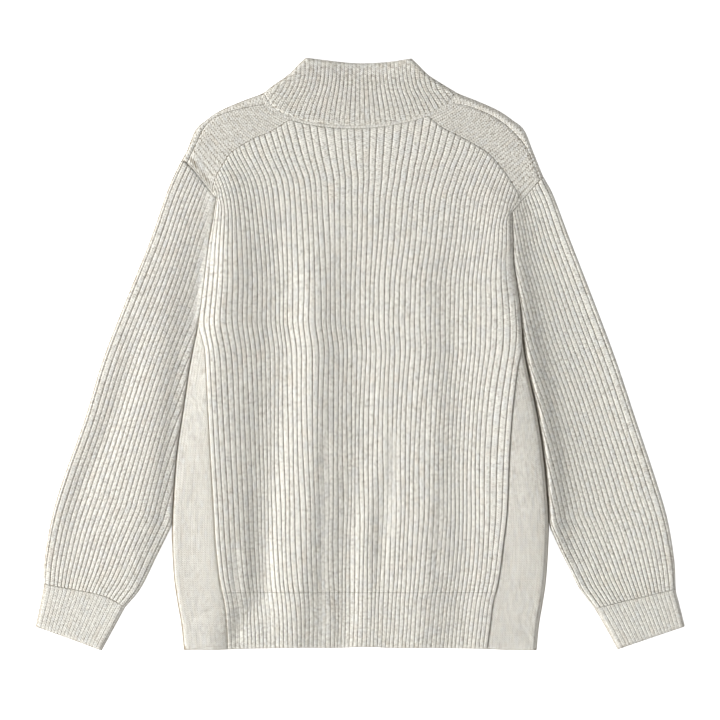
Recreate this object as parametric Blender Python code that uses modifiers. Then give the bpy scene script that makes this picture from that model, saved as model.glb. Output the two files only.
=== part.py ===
"""Zip-up cardigan in a thick rib knit, laid flat on its front with the back up.

Every knitted piece is a closed wall of cloth. A wall starts as a grid of flat plan
points, is laid as the upper or the lower layer round the folded edges, has its ribs
raised on the outer points and keeps a plain inside. Sizes are in millimetres here
and become metres when a mesh is made. +X is right, +Y runs from hem to collar and
+Z points up, away from the surface that the cardigan lies on. Left and right are as
seen from above, and "out" is the distance from the centre line.
"""

from collections import namedtuple

import bmesh
import bpy
import numpy as np

MM = 0.001

# Cloth
WALL = 3.0  # inside of a wall to the bottom of its grooves
RIB = 1.4  # height of a rib on the back and the sleeves
FINE_RIB = 1.0  # height of a rib on the collar, cuffs and hem
STACK = 10.0  # two layers laid on each other
FOLD = STACK / 2  # radius of a folded edge
EASE = 12.0  # plan distance from a fold within which its turn is taken up
SEAM = 0.3  # between two pieces at a seam
TUCK = 1.5  # between the body's edge and the sleeve beside it
INSIDE_SHORT = 0.8  # the inside of a panel stops this far short of its seams
ON_FOLD = 0.15  # a point this near to a fold lies on it
RUN_ON = 20.0  # a fold is carried on this far past an open end
RIB_FADE = 3.0  # a rib gains its height within this distance of a fold

# How far an edge is pulled in at its seam: further where its steps are coarser than its neighbour's
PULL = 0.21
YOKE_PULL = 0.35
STRIP_PULL = 0.4
CUFF_PULL = 0.5
FRONT_PULL = 0.7

# Ribs across each piece, and rows of faces along the two short ones
BACK_RIBS = 64
SLEEVE_RIBS = 24
CUFF_RIBS = 21
COLLAR_RIBS = 40
CUFF_ROWS = 3
COLLAR_ROWS = 4

# Heights on the body
HEM_TOP = -286.0
HEM_MIDDLE = -352.5  # bottom edge at the centre line
HEM_DIP = 3.5  # the bottom edge is this much lower at the sides
HEM_HALF = 212.0
HEM_SIDE = HEM_MIDDLE - HEM_DIP
HEM_MID = -325.0  # the row half way up the hem
SLEEVE_LEAVES = -205.0  # the sleeves lie against the body down to here
FRONT_NECK = 232.0  # neck seam at the centre front
FRONT_COLLAR_TOP = 310.0
ZIP_EDGE = 4.3  # front edge from the centre line
TOPS_BETWEEN = (120.0, 330.0)  # every column of the back and the fronts ends between these

# Zip, closed. The hinge of its pull tab runs across the slider, in front of it.
HINGE = (0.0, 304.0, 1.55)
TAPE_WIDTH = 15.0
TAPE = 0.8
TAPE_INNER = 0.6
TAPE_LOW = WALL + 0.4
TAPE_SHORT = 1.0  # the tapes end this far below the collar's edge
PLATE_LOW = TAPE_LOW - 0.25  # top of the slider's lower plate
PLATE_HIGH = TAPE_LOW + TAPE + 0.25  # underside of its upper plate
ZIP_BOTTOM = HEM_MIDDLE + 0.5
BAR = 0.9  # the tab's thickness and its bar's
BOX_LENGTH = 8.0

# Blocks of the zip's metal: half width, start and end along the zip from the hinge, low and high
Block = namedtuple("Block", "half_width start end low high")
SLIDER = {
    "zip_slider": Block(3.8, -8, 4, 2.5, PLATE_LOW),
    "slider_back": Block(4.2, -8, 4, PLATE_HIGH, PLATE_HIGH + 0.8),
    "slider_post": Block(0.3, -7, 3, 2.7, PLATE_HIGH + 0.3),
    "slider_arch": Block(0.9, -3.2, 1.9, 0.0, 2.7),
}
ARCH_GAP = Block(2.0, -2.4, 1.1, 0.6, 2.5)
TAB = Block(3.0, -24.0, BAR / 2, HINGE[2] - BAR / 2, HINGE[2] + BAR / 2)
TAB_SLOT = Block(1.35, -5.6, -BAR / 2, 0.0, 3.0)

SIDES = {"left": -1, "right": 1}
PER_SPAN = 8  # points of a smooth line to each row of its table

# Outline from the collar's top corner over the shoulder and down the sleeve: (out, up)
OUTLINE = {
    "left": [
        (66, 356), (75, 347), (87, 335), (104, 323), (118, 313), (139, 305), (167, 293), (185, 281),
        (198, 269), (208, 245), (215, 232), (231, 197), (252, 137), (281, 65), (309, -7), (331, -79),
        (357, -151), (371, -199), (379, -247), (380, -276), (384, -299), (390, -327),
    ],
    "right": [
        (62, 355), (70, 347), (82, 335), (99, 324), (118, 313), (138, 305), (165, 293), (183, 281),
        (197, 269), (207, 245), (220, 213), (232, 190), (252, 137), (280, 65), (307, -7), (331, -79),
        (355, -151), (369, -199), (377, -247), (379, -282), (383, -299), (390, -327),
    ],
}
NECK_ROW, SHOULDER_ROW, CUFF_ROW = 4, 10, 19  # rows of the outline at the seams it crosses

# Armhole seam from the shoulder's tip to the underarm: (out, up)
ARMHOLE = {
    "left": [(215, 232), (209, 229.5), (198, 217.5), (181.5, 197), (174, 188.5), (173, 186)],
    "right": [(220, 213), (217, 210), (200, 190.5), (190, 179), (183.5, 172), (182, 168)],
}

# Side of the body below the underarm: the folded edge, and the seam of the side panel
Flank = namedtuple("Flank", "up edge seam")
FLANK = {
    "left": [
        Flank(186, 173, 171.4), Flank(161, 177, 175.4), Flank(137, 181.5, 179.9),
        Flank(110, 185, 183.4), Flank(65, 190.5, 188.9), Flank(40, 194.5, 192.2),
        Flank(29, 196.5, 191.6), Flank(4, 201.7, 186.8), Flank(-22, 206.5, 185),
        Flank(-67, 213, 182.6), Flank(-122, 221, 179.6), Flank(-186, 225.6, 175.7),
        Flank(-223, 226.4, 173.6), Flank(-269, 224, 168.8), Flank(-298, 220, 162.8),
        Flank(-325, 215.3, 160), Flank(-356, 212, 158.6),
    ],
    "right": [
        Flank(168, 182, 180.4), Flank(137, 183.5, 181.9), Flank(110, 184.5, 182.9),
        Flank(89, 187.5, 185.9), Flank(65, 191, 189.4), Flank(40, 193.5, 191.9),
        Flank(29, 194.5, 192.7), Flank(4, 197.4, 191.8), Flank(-22, 202.2, 188.2),
        Flank(-67, 212, 182.9), Flank(-122, 220.6, 179), Flank(-186, 226.2, 176.5),
        Flank(-223, 226.4, 172.6), Flank(-269, 223.6, 166.6), Flank(-298, 219.6, 160),
        Flank(-325, 215, 156.4), Flank(-356, 212, 152.5),
    ],
}

# Free inner edge of the sleeve, from where it leaves the body to the cuff: (out, up)
INNER = {
    "left": [(227, -207), (234.6, -223), (247, -248), (258, -271), (268, -286), (278, -297), (287, -303)],
    "right": [(227.8, -208), (242, -239), (253, -261), (264, -282), (274, -296), (285, -304), (290, -306)],
}
CUFF_INNER = {
    "left": [(287, -303), (295, -331), (310.5, -356)],
    "right": [(290, -306), (298, -331), (309.5, -354.5)],
}
CUFF_LINE = {
    "left": [(380, -276), (312, -289), (287, -303)],
    "right": [(379, -282), (326, -294.5), (290, -306)],
}

# Neck seam at the back, left to right: (x, y)
NECK_SEAM = [
    (-118, 313), (-115.5, 307), (-108, 295), (-89, 283.5), (-61, 275.5), (-29, 271.5), (3, 271.3),
    (35, 274.4), (73, 283), (102.5, 295), (115.5, 307), (118, 313),
]
COLLAR_TOP = [(-66, 356), (-30, 351.5), (0, 349.2), (35, 351), (62, 355)]
FRONT_NECK_SEAM = [
    (118, 313), (113, 299), (101, 279), (83, 257), (58, 241), (30, 234), (ZIP_EDGE, FRONT_NECK),
]
FRONT_COLLAR_EDGE = [(64, 355.5), (48, 333), (28, 316), (ZIP_EDGE, FRONT_COLLAR_TOP)]

# Shoulder seam on the back, and the line where the ribs start, both from neck to armhole: (out, up)
SHOULDER_SEAM = {
    "left": [(112, 301), (130, 297), (156, 290), (175.5, 281.5), (187.5, 269.5), (196, 252.5), (207, 229)],
    "right": [(112, 301), (130, 297), (158, 285.6), (179, 271), (193.7, 255), (204, 236), (215, 208)],
}
RIB_START = {
    "left": [
        (84, 282), (107, 267.6), (127.4, 259.2), (141.8, 250.8), (156.2, 240.6), (164.6, 228),
        (171.8, 215.5), (175.4, 207), (178, 193),
    ],
    "right": [
        (82, 285.5), (98.2, 272.4), (121, 261), (149.8, 244.4), (163, 232), (177.4, 213.6),
        (187.4, 197), (194, 183.5),
    ],
}

# How the ribs of the back spread toward the shoulders: half widths, and the centre's pitch
Spread = namedtuple("Spread", "up left right centre_pitch")
SPREAD = [
    Spread(89, 186, 187, 1.05), Spread(137, 185, 190, 1.11), Spread(185, 183.5, 190, 1.18),
    Spread(209, 187, 196, 1.22), Spread(227, 195, 202.5, 1.26), Spread(245, 202, 209, 1.31),
    Spread(285, 210, 216, 1.42),
]
EVEN_BELOW = 29.0  # the ribs are evenly spaced up to here
EDGE_PULL = 5  # power of the share across by which the outer ribs follow the edge

# Soft folds of the upper layer: from (x, y) to (x, y), with width and height
Crease = namedtuple("Crease", "x0 y0 x1 y1 width height")
CREASES = [
    Crease(-136, 200, -128, -239, 16, -1.6),
    Crease(-130, -195, -127, -262, 11, -1.4),
    Crease(-87, 104, -91, -335, 19, 2.0),
    Crease(-32, 104, -32, -343, 15, -1.6),
    Crease(56, 65, 41, -335, 20, 1.9),
    Crease(12, -175, 8, -283, 9, -1.2),
    Crease(104, -55, 90, -300, 15, -1.5),
    Crease(128, 104, 144, -247, 20, 1.3),
    Crease(-176, 215, -200, -23, 11, 1.5),
    Crease(-200, -23, -207, -247, 12, 1.4),
    Crease(200, 137, 222, 25, 12, -2.0),
    Crease(222, 25, 262, -136, 14, -2.2),
    Crease(262, -136, 268, -225, 12, -1.6),
    Crease(-205, 105, -226, -60, 9, -1.3),
    Crease(-40, 345, 40, 345, 18, -3.0),
]

# Shares of the front neck seam, from the shoulder to the zip, where fronts and collar have a column
NECK_SHARES = np.array([0, 0.015, 0.04, 0.09, 0.2, 0.35, 0.5, 0.66, 0.83, 1])
# Rows up the body, the same on every piece that shares a side seam
LEVELS = [-226, -150, -67, -22, 4, 29, 90, 140]
KEEP_EVERY = 8  # outer columns to one column of a plain inside

COLOURS = {
    "knit": ((0.66, 0.64, 0.58, 1), 0.95, 0.0),
    "tape": ((0.55, 0.53, 0.48, 1), 0.9, 0.0),
    "metal": ((0.55, 0.55, 0.56, 1), 0.35, 1.0),
}


# ---------------------------------------------------------------- plane curves


def smooth(table):
    """Catmull-Rom curve through the rows of a table."""
    rows = np.array(table, float)
    rows = np.vstack([2 * rows[0] - rows[1], rows, 2 * rows[-1] - rows[-2]])
    t = np.linspace(0, 1, PER_SPAN, endpoint=False)[:, None]
    spans = []
    for a, b, c, d in zip(rows, rows[1:], rows[2:], rows[3:]):
        cubic = 2 * b + (c - a) * t + (2 * a - 5 * b + 4 * c - d) * t**2 + (3 * b - a - 3 * c + d) * t**3
        spans.append(cubic / 2)
    return np.vstack(spans + [rows[-2:-1]])


def lengths(line):
    """Length run along a line at each of its points."""
    return np.r_[0, np.cumsum(np.linalg.norm(np.diff(line, axis=0), axis=1))]


def along(line, share):
    """Points at the given shares, 0 to 1, of a line's length."""
    run = lengths(line)
    return np.stack([np.interp(np.asarray(share) * run[-1], run, line[:, k]) for k in (0, 1)], -1)


def share_at(line, point):
    """Share of a line's length at the place nearest to a point."""
    dense = along(line, np.linspace(0, 1, 2001))
    return np.linalg.norm(dense - point, axis=1).argmin() / 2000


def stretch(line, start, end, shares):
    """Points at shares of the stretch of a line between two shares of its length."""
    return along(line, start + (end - start) * np.asarray(shares))


def sided(table, sign):
    """A table of (out, up) rows as a smooth line on one side."""
    return smooth(table) * (sign, 1)


def run_on(line):
    """A line carried straight on past its end, so that the end's own points lie beside it."""
    ahead = line[-1] - line[-2]
    return np.vstack([line, line[-1] + ahead / np.linalg.norm(ahead) * RUN_ON])


def outward(line, distance, sign):
    """A line moved sideways, away from the centre, by a distance."""
    ahead = np.gradient(line, axis=0)
    ahead /= np.linalg.norm(ahead, axis=1)[:, None]
    across = np.stack([-ahead[:, 1], ahead[:, 0]], -1)
    return line + across * distance * np.sign(across[:, :1] * sign)


def coons(south, north, west, east, across=None, up=None):
    """Grid between four lines of points, evenly spaced or at given shares: rows run west to east."""
    u = np.linspace(0, 1, len(south)) if across is None else across
    v = np.linspace(0, 1, len(west)) if up is None else up
    u, v = u[None, :, None], v[:, None, None]
    ruled = (1 - v) * south[None] + v * north[None] + (1 - u) * west[:, None] + u * east[:, None]
    corners = (1 - v) * ((1 - u) * south[0] + u * south[-1]) + v * ((1 - u) * north[0] + u * north[-1])
    return ruled - corners


# ---------------------------------------------------------------- laying cloth


def nearest(points, line):
    """Distance of each point from a line, and the direction to the point from the line."""
    start, step = line[:-1], np.diff(line, axis=0)
    offset = points[..., None, :] - start
    part = np.clip((offset * step).sum(-1) / (step**2).sum(-1), 0, 1)
    away = offset - part[..., None] * step
    distance = np.linalg.norm(away, axis=-1)
    best = distance.argmin(-1)[..., None]
    away = np.take_along_axis(away, best[..., None], -2)[..., 0, :]
    return np.take_along_axis(distance, best, -1)[..., 0], away, best[..., 0]


def turn_at(points, folds):
    """How far the cloth has turned at each point, its foot on the fold, the way in and the distance."""
    reach = np.full(points.shape[:-1], np.inf)
    inward = np.zeros(points.shape)
    for line, inner_side in folds:
        distance, away, segment = nearest(points, line)
        step = np.diff(line, axis=0)
        across = np.stack([-step[:, 1], step[:, 0]], -1) / np.linalg.norm(step, axis=1)[:, None]
        on_fold = (distance < ON_FOLD)[..., None]
        way = np.where(on_fold, across[segment] * inner_side, away)
        way /= np.linalg.norm(way, axis=-1)[..., None]
        closer = distance < reach
        reach = np.where(closer, distance, reach)
        inward = np.where(closer[..., None], way, inward)
        foot = points - away if line is folds[0][0] else np.where(closer[..., None], points - away, foot)
    reach = np.where(reach < ON_FOLD, 0, reach)
    arc = reach + (np.pi / 2 - 1) * FOLD * np.minimum(reach / EASE, 1)
    return np.minimum(arc / FOLD, np.pi / 2), arc, inward, foot, reach


def creases(points):
    """Height of the soft folds at each point."""
    height = np.zeros(points.shape[:-1])
    for row in CREASES:
        line = np.array([(row.x0, row.y0), (row.x1, row.y1)], float)
        distance, _, _ = nearest(points, line)
        height += row.height * np.exp(-((distance / row.width) ** 2))
    return height


def lay(points, folds, layer, relief=0.0):
    """Outer and inner points of a wall laid as the upper (1) or the lower (-1) layer."""
    turn, arc, inward, foot, reach = turn_at(points, folds)
    plan = FOLD * (1 - np.cos(turn)) + np.maximum(arc - FOLD * np.pi / 2, 0)
    flat = foot + inward * plan[..., None]
    height = FOLD + layer * FOLD * np.sin(turn)
    if layer > 0:
        height = height + creases(points) * np.minimum(reach / EASE, 1)
    base = np.concatenate([flat, height[..., None]], -1)
    level = -inward * np.cos(turn)[..., None]
    normal = np.concatenate([level, layer * np.sin(turn)[..., None]], -1)
    raised = relief * np.minimum(reach / RIB_FADE, 1)
    return base + normal * np.broadcast_to(raised, reach.shape)[..., None], base - normal * WALL


def inset(grid, west=False, east=False, south=False, north=False, by=PULL):
    """Pulls the named edges of a grid in, along the grid's own lines."""
    grid = grid.copy()
    for wanted, edge, inside in (
        (west, np.s_[:, 0], np.s_[:, 1]),
        (east, np.s_[:, -1], np.s_[:, -2]),
        (south, np.s_[0], np.s_[1]),
        (north, np.s_[-1], np.s_[-2]),
    ):
        if wanted:
            way = grid[inside] - grid[edge]
            grid[edge] += way / np.linalg.norm(way, axis=-1)[..., None] * by
    return grid


# ---------------------------------------------------------------- meshes


class Skin:
    """Faces of one wall, gathered block by block; points that coincide are one vertex."""

    def __init__(self):
        self.index = {}
        self.faces = []

    def vertex(self, point):
        key = tuple(np.round(point, 3))
        return self.index.setdefault(key, len(self.index))

    def face(self, points):
        loop = []
        for point in points:
            vertex = self.vertex(point)
            if vertex not in loop:
                loop.append(vertex)
        if len(loop) > 2:
            self.faces.append(loop)

    def between(self, low, high):
        """Triangles between two runs of points, which may differ in number."""
        i = j = 0
        while i < len(low) - 1 or j < len(high) - 1:
            if (i + 1) * (len(high) - 1) <= (j + 1) * (len(low) - 1):
                self.face([low[i], low[i + 1], high[j]])
                i += 1
            else:
                self.face([low[i], high[j + 1], high[j]])
                j += 1

    def surface(self, grid, keep, fine_start=False):
        """Cells between the kept columns; a fine start keeps every point of the first row."""
        for a, b in zip(keep, keep[1:]):
            for row in range(len(grid) - 1):
                low = grid[row, a : b + 1] if fine_start and row == 0 else grid[row, [a, b]]
                self.between(low, grid[row + 1, [a, b]])

    def rim(self, outer, inner, row, keep, fine):
        """Closes a wall along a row: plain inside, every rib outside."""
        for a, b in zip(keep, keep[1:]):
            self.between(outer[row, a : b + 1] if fine else outer[row, [a, b]], inner[row, [a, b]])

    def edge(self, outer, inner, column):
        """Closes a wall along a column."""
        for row in range(len(outer) - 1):
            self.between(outer[row : row + 2, column], inner[row : row + 2, column])

    def panel(self, outer, inner, keep):
        """A wall with four rims, whose plain inside stops a little short of its seams."""
        inner = inset(inner[:, keep], south=True, north=True, west=True, east=True, by=INSIDE_SHORT)
        full = np.zeros_like(outer)
        full[:, keep] = inner
        self.wall(outer, full, keep, "SNWE")

    def wall(self, outer, inner, keep, rims="", plain=False, fine_start=False):
        """A block of wall: its outside, its plain inside and the rims named S, N, W and E."""
        every = list(range(outer.shape[1]))
        self.surface(outer, keep if plain else every, fine_start)
        self.surface(inner, keep)
        if "S" in rims:
            self.rim(outer, inner, 0, keep, not plain)
        if "N" in rims:
            self.rim(outer, inner, len(outer) - 1, keep, not plain)
        if "W" in rims:
            self.edge(outer, inner, 0)
        if "E" in rims:
            self.edge(outer, inner, -1)

    def build(self, name, material):
        points = np.array(list(self.index)) * MM
        mesh = bpy.data.meshes.new(name)
        mesh.from_pydata(points.tolist(), [], self.faces)
        shell = bmesh.new()
        shell.from_mesh(mesh)
        bmesh.ops.recalc_face_normals(shell, faces=shell.faces)
        if shell.calc_volume(signed=True) < 0:
            bmesh.ops.reverse_faces(shell, faces=shell.faces)
        shell.to_mesh(mesh)
        shell.free()
        mesh.materials.append(material)
        piece = bpy.data.objects.new(name, mesh)
        collection().objects.link(piece)
        return piece


def collection():
    """The collection that holds the cardigan."""
    found = bpy.data.collections.get("Cardigan")
    if found is None:
        found = bpy.data.collections.new("Cardigan")
        bpy.context.scene.collection.children.link(found)
    return found


def material(name, kind):
    """A piece's own material."""
    colour, roughness, metallic = COLOURS[kind]
    made = bpy.data.materials.new(name)
    made.use_nodes = True
    shader = made.node_tree.nodes["Principled BSDF"]
    shader.inputs["Base Color"].default_value = colour
    shader.inputs["Roughness"].default_value = roughness
    shader.inputs["Metallic"].default_value = metallic
    return made


def kept(count, every=KEEP_EVERY, close_start=False, close_end=False):
    """Columns that a plain inside keeps, out of `count` steps; closer together beside a fold."""
    columns = {*range(0, count, every), count}
    if close_start:
        columns |= {1, 2, 4}
    if close_end:
        columns |= {count - 4, count - 2, count - 1}
    return sorted(columns)


# ---------------------------------------------------------------- shared lines


class Side:
    """The lines of one side of the cardigan, in plan."""

    def __init__(self, name):
        self.name = name
        self.sign = SIDES[name]
        self.outline = sided(OUTLINE[name], self.sign)
        neck, shoulder, cuff = (PER_SPAN * row for row in (NECK_ROW, SHOULDER_ROW, CUFF_ROW))
        self.collar_edge = self.outline[neck::-1]
        self.shoulder = self.outline[neck : shoulder + 1]
        self.sleeve_fold = self.outline[shoulder : cuff + 1]
        self.cuff_fold = self.outline[cuff:]
        self.outline = run_on(self.outline)
        self.armhole = sided(ARMHOLE[name], self.sign)
        self.edge = sided([(row.edge, row.up) for row in FLANK[name]], self.sign)
        self.seam = sided([(row.seam, row.up) for row in FLANK[name]], self.sign)
        self.underarm = FLANK[name][0].up
        self.neck_seam = smooth(NECK_SEAM)[:: self.sign * -1]
        self.shoulder_seam, self.shoulder_shares = self.fitted(SHOULDER_SEAM)
        self.rib_start, self.rib_shares = self.fitted(RIB_START)
        beside = outward(self.edge[self.edge[:, 1] > SLEEVE_LEAVES], TUCK, self.sign)
        self.sleeve_inner = np.vstack([beside, sided(INNER[name], self.sign)])
        self.cuff_inner = sided(CUFF_INNER[name], self.sign)
        self.cuff_line = sided(CUFF_LINE[name], self.sign)
        self.body_folds = [(self.outline, -self.sign), (run_on(self.edge), -self.sign)]
        inner = run_on(np.vstack([self.sleeve_inner, self.cuff_inner[1:]]))
        self.sleeve_folds = [(self.outline, -self.sign), (inner, self.sign)]

    def fitted(self, table):
        """A line from the neck seam to the armhole, with its ends on both, and their shares."""
        line = sided(table[self.name], self.sign)
        shares = share_at(self.neck_seam, line[0]), share_at(self.armhole, line[-1])
        line[0] = along(self.neck_seam, [shares[0]])[0]
        line[-1] = along(self.armhole, [shares[1]])[0]
        return line, shares

    def out_at(self, line, up):
        """How far out a line lies at the given heights."""
        order = np.argsort(line[:, 1])
        return np.interp(up, line[order, 1], abs(line[order, 0]))


def rows_up(bottom, underarm, top, above):
    """Heights of the rows of each column, from its bottom through the levels to its top."""
    levels = [bottom, *LEVELS]
    columns = len(top)
    rows = [np.full(columns, float(level)) for level in levels]
    underarm = np.broadcast_to(underarm, columns)
    rows += [(LEVELS[-1] + underarm) / 2, underarm]
    rows += [underarm + (top - underarm) * share for share in above]
    return np.array(rows)


def first_meeting(path, limit, columns):
    """Height at which the path of each column meets a line that runs across, by halving."""
    low, high = (np.full(columns, height) for height in TOPS_BETWEEN)
    for _ in range(40):
        middle = (low + high) / 2
        inside = middle < np.interp(path(middle), limit[:, 0], limit[:, 1])
        low = np.where(inside, middle, low)
        high = np.where(inside, high, middle)
    return (low + high) / 2


# ---------------------------------------------------------------- back


def back_side(side, up):
    """Side of the ribs of the back: the side panel's seam, the armhole, then the spread."""
    low = side.seam[::-1]
    hole = side.armhole[::-1]
    hole = hole[(hole[:, 1] > side.underarm) & (hole[:, 1] < side.rib_start[-1, 1])]
    above = [row for row in SPREAD if row.up > ARMHOLE[side.name][0][1]]
    spread_out = [getattr(row, side.name) for row in above]
    heights = np.r_[low[:, 1], hole[:, 1], side.rib_start[-1, 1], [row.up for row in above]]
    outs = abs(np.r_[low[:, 0], hole[:, 0], side.rib_start[-1, 0], spread_out])
    return np.interp(up, heights, outs)


def inner_side(side, up):
    """Side that the inner ribs follow: the side panel's seam, then smoothly up past the armhole."""
    low = [(row.up, row.seam) for row in FLANK[side.name][::-1] if row.up < SPREAD[0].up]
    line = smooth(low + [(row.up, getattr(row, side.name)) for row in SPREAD])
    return np.interp(up, line[:, 0], line[:, 1])


def back_path(sides, across, up):
    """Where a rib of the back runs.

    Ribs are even low down and wider at the centre near the neck. The inner ones follow the smooth
    side, and the outer ones are drawn to the piece's edge by a power of their share across.
    """
    pitch = smooth([(EVEN_BELOW, 1)] + [(row.up, row.centre_pitch) for row in SPREAD])
    centre = np.interp(up, pitch[:, 0], pitch[:, 1])
    spread = across * centre + across**3 * (1 - centre)
    left, right = (inner_side(side, up) for side in sides)
    inner = (right - left) / 2 + (right + left) / 2 * spread
    left, right = (back_side(side, up) - inner_side(side, up) for side in sides)
    return inner + np.where(across < 0, left, right) * across**EDGE_PULL


def back_panel(sides):
    """Ribbed back, from the top of the hem to the neck seam and the yokes."""
    left, right = sides
    across = np.linspace(-1, 1, 2 * BACK_RIBS + 1)
    neck = stretch(left.neck_seam, left.rib_shares[0], 1 - right.rib_shares[0], np.linspace(0, 1, 40))
    limit = np.vstack([left.rib_start[::-1], neck[1:-1], right.rib_start])
    top = first_meeting(lambda up: back_path(sides, across, up), limit, across.size)
    underarm = np.interp(across, [-1, 1], [left.underarm, right.underarm])
    up = rows_up(HEM_TOP, underarm, top, (0.5, 1))
    grid = np.stack([back_path(sides, across, up), up], -1)
    grid = inset(grid, west=True, east=True, south=True, north=True)
    relief = ribs_across(across.size, RIB)
    outer, inner = lay(grid, left.body_folds + right.body_folds, 1, relief)
    skin = Skin()
    skin.panel(outer, inner, kept(across.size - 1))
    skin.build("back_panel", material("back_panel", "knit"))


def ribs_across(columns, height):
    """Relief of one row of ribs, two columns to each: grooves are even columns."""
    return height * (np.arange(columns) % 2)


def hem_edge(x):
    """Height of the bottom edge: a little lower at the sides."""
    return HEM_MIDDLE - HEM_DIP * (x / HEM_HALF) ** 2


def back_hem(sides):
    """Rib band along the bottom of the back, between the side panels."""
    across = np.linspace(-1, 1, 2 * BACK_RIBS + 1)
    rows = []
    for level in (HEM_SIDE, HEM_MID, HEM_TOP):
        up = np.full(across.shape, level)
        x = back_path(sides, across, up)
        rows.append(np.stack([x, hem_edge(x) if level == HEM_SIDE else up], -1))
    grid = inset(np.array(rows), west=True, east=True, north=True)
    relief = ribs_across(across.size, FINE_RIB)
    outer, inner = lay(grid, sides[0].body_folds + sides[1].body_folds, 1, relief)
    skin = Skin()
    skin.panel(outer, inner, kept(across.size - 1))
    skin.build("back_hem", material("back_hem", "knit"))


YOKE_COLUMNS = 20
YOKE_ROWS = 6


def yoke(side):
    """Plain-knit shoulder piece between the ribs of the back and the shoulder seam."""
    shares = np.linspace(0, 1, YOKE_COLUMNS + 1)
    south = along(side.rib_start, shares)
    north = along(side.shoulder_seam, shares)
    few = np.linspace(0, 1, YOKE_ROWS + 1)
    west = stretch(side.neck_seam, side.rib_shares[0], side.shoulder_shares[0], few)
    east = stretch(side.armhole, side.rib_shares[1], side.shoulder_shares[1], few)
    grid = coons(south, north, west, east)
    grid = inset(grid, west=True, east=True, south=True, north=True, by=YOKE_PULL)
    outer, inner = lay(grid, side.body_folds, 1)
    skin = Skin()
    skin.panel(outer, inner, kept(YOKE_COLUMNS, 2))
    skin.build(f"yoke_{side.name}", material(f"yoke_{side.name}", "knit"))


# ---------------------------------------------------------------- side panels

PANEL_STEPS = np.array([1, 0.8, 0.6, 0.4, 0.27, 0.13, 0])  # columns between the seam and the fold
PANEL_CROWDING = 35.0  # a wider panel has its columns closer to the fold


def side_panel(side):
    """Plain-knit gore round the folded side of the body, from the back's seam to the front's."""
    levels = [HEM_SIDE, HEM_MID, HEM_TOP, *LEVELS, (LEVELS[-1] + side.underarm) / 2, side.underarm]
    up = np.array(levels)[:, None]
    edge = side.out_at(side.edge, up)
    seam = side.out_at(side.seam, up)
    out = edge + (seam - edge) * PANEL_STEPS ** (1 + (edge - seam) / PANEL_CROWDING)
    grid = np.stack([out * side.sign, np.broadcast_to(up, out.shape)], -1)
    grid[0, :, 1] = hem_edge(grid[0, :, 0])
    grid[-1, :, 1] -= SEAM
    grid = inset(grid, west=True)
    top_outer, top_inner = lay(grid, side.body_folds, 1)
    low_outer, low_inner = lay(grid[:, ::-1], side.body_folds, -1)
    outer = np.concatenate([top_outer, low_outer[:, 1:]], 1)
    inner = np.concatenate([top_inner, low_inner[:, 1:]], 1)
    skin = Skin()
    skin.panel(outer, inner, kept(outer.shape[1] - 1, 1))
    skin.build(f"side_panel_{side.name}", material(f"side_panel_{side.name}", "knit"))


# ---------------------------------------------------------------- fronts

SHOULDER_COLUMNS = [0.6, 0.69, 0.77, 0.83, 0.88, 0.92, 0.95, 0.98, 1]
ABOVE_UNDERARM = (0.25, 0.5, 0.72, 0.88, 0.96, 1)
STRIP_ROWS = np.array([0, 0.1, 0.3, 0.6, 1])
HEM_COLUMNS = 8


def front_side(side, up):
    """Outer side of a front: the side panel's seam, the armhole, then straight up."""
    low = side.seam[::-1]
    hole = side.armhole[-2::-1]
    heights = np.r_[low[:, 1], hole[:, 1]]
    outs = abs(np.r_[low[:, 0], hole[:, 0]])
    return np.interp(up, heights, outs)


def front(side):
    """Front with its zip edge; its shoulder turns over the fold to the seam on the back."""
    tip = abs(side.armhole[0, 0])
    neck_columns = along(smooth(FRONT_NECK_SEAM), NECK_SHARES[::-1])[:, 0]
    share = np.r_[(neck_columns - ZIP_EDGE) / (tip - ZIP_EDGE), SHOULDER_COLUMNS]
    split = len(NECK_SHARES) - 1
    neck = smooth(FRONT_NECK_SEAM)[::-1]
    limit = np.vstack([neck, side.shoulder[1:] * (side.sign, 1)])

    def path(up):
        return ZIP_EDGE + (front_side(side, up) - ZIP_EDGE) * share

    top = first_meeting(path, limit, share.size)
    top[-1] = side.armhole[0, 1]
    up = rows_up(HEM_TOP, side.underarm, top, ABOVE_UNDERARM)
    grid = np.stack([path(up) * side.sign, up], -1)
    grid[-1, -1] = side.armhole[0]
    turned = strip_over_shoulder(side, grid[-1, split:])
    grid = inset(grid, south=True)
    grid = inset(grid, east=True, by=FRONT_PULL)
    grid[-1, split:] = turned[0]
    grid[-1, :split, 1] -= SEAM
    outer, inner = lay(grid, side.body_folds, -1)
    skin = Skin()
    columns = [kept(split, 1), kept(share.size - 1 - split, 1)]
    skin.wall(outer[:, : split + 1], inner[:, : split + 1], columns[0], "SNW", plain=True)
    skin.wall(outer[:, split:], inner[:, split:], columns[1], "SE", plain=True)
    outer, inner = lay(turned, side.body_folds, 1)
    skin.wall(outer, inner, columns[1], "NWE", plain=True)
    skin.build(f"front_{side.name}", material(f"front_{side.name}", "knit"))


def strip_over_shoulder(side, fold_points):
    """Plan of a front's strip above the shoulder fold, from the fold to the shoulder seam."""
    run = lengths(fold_points)
    shares = run / run[-1]
    west = stretch(side.neck_seam, 0, side.shoulder_shares[0], STRIP_ROWS)
    east = stretch(side.armhole, 0, side.shoulder_shares[1], STRIP_ROWS)
    west[0], east[0] = fold_points[0], fold_points[-1]
    north = along(side.shoulder_seam, shares)
    grid = coons(fold_points, north, west, east, shares, STRIP_ROWS)
    return inset(grid, west=True, east=True, north=True, by=STRIP_PULL)


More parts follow.
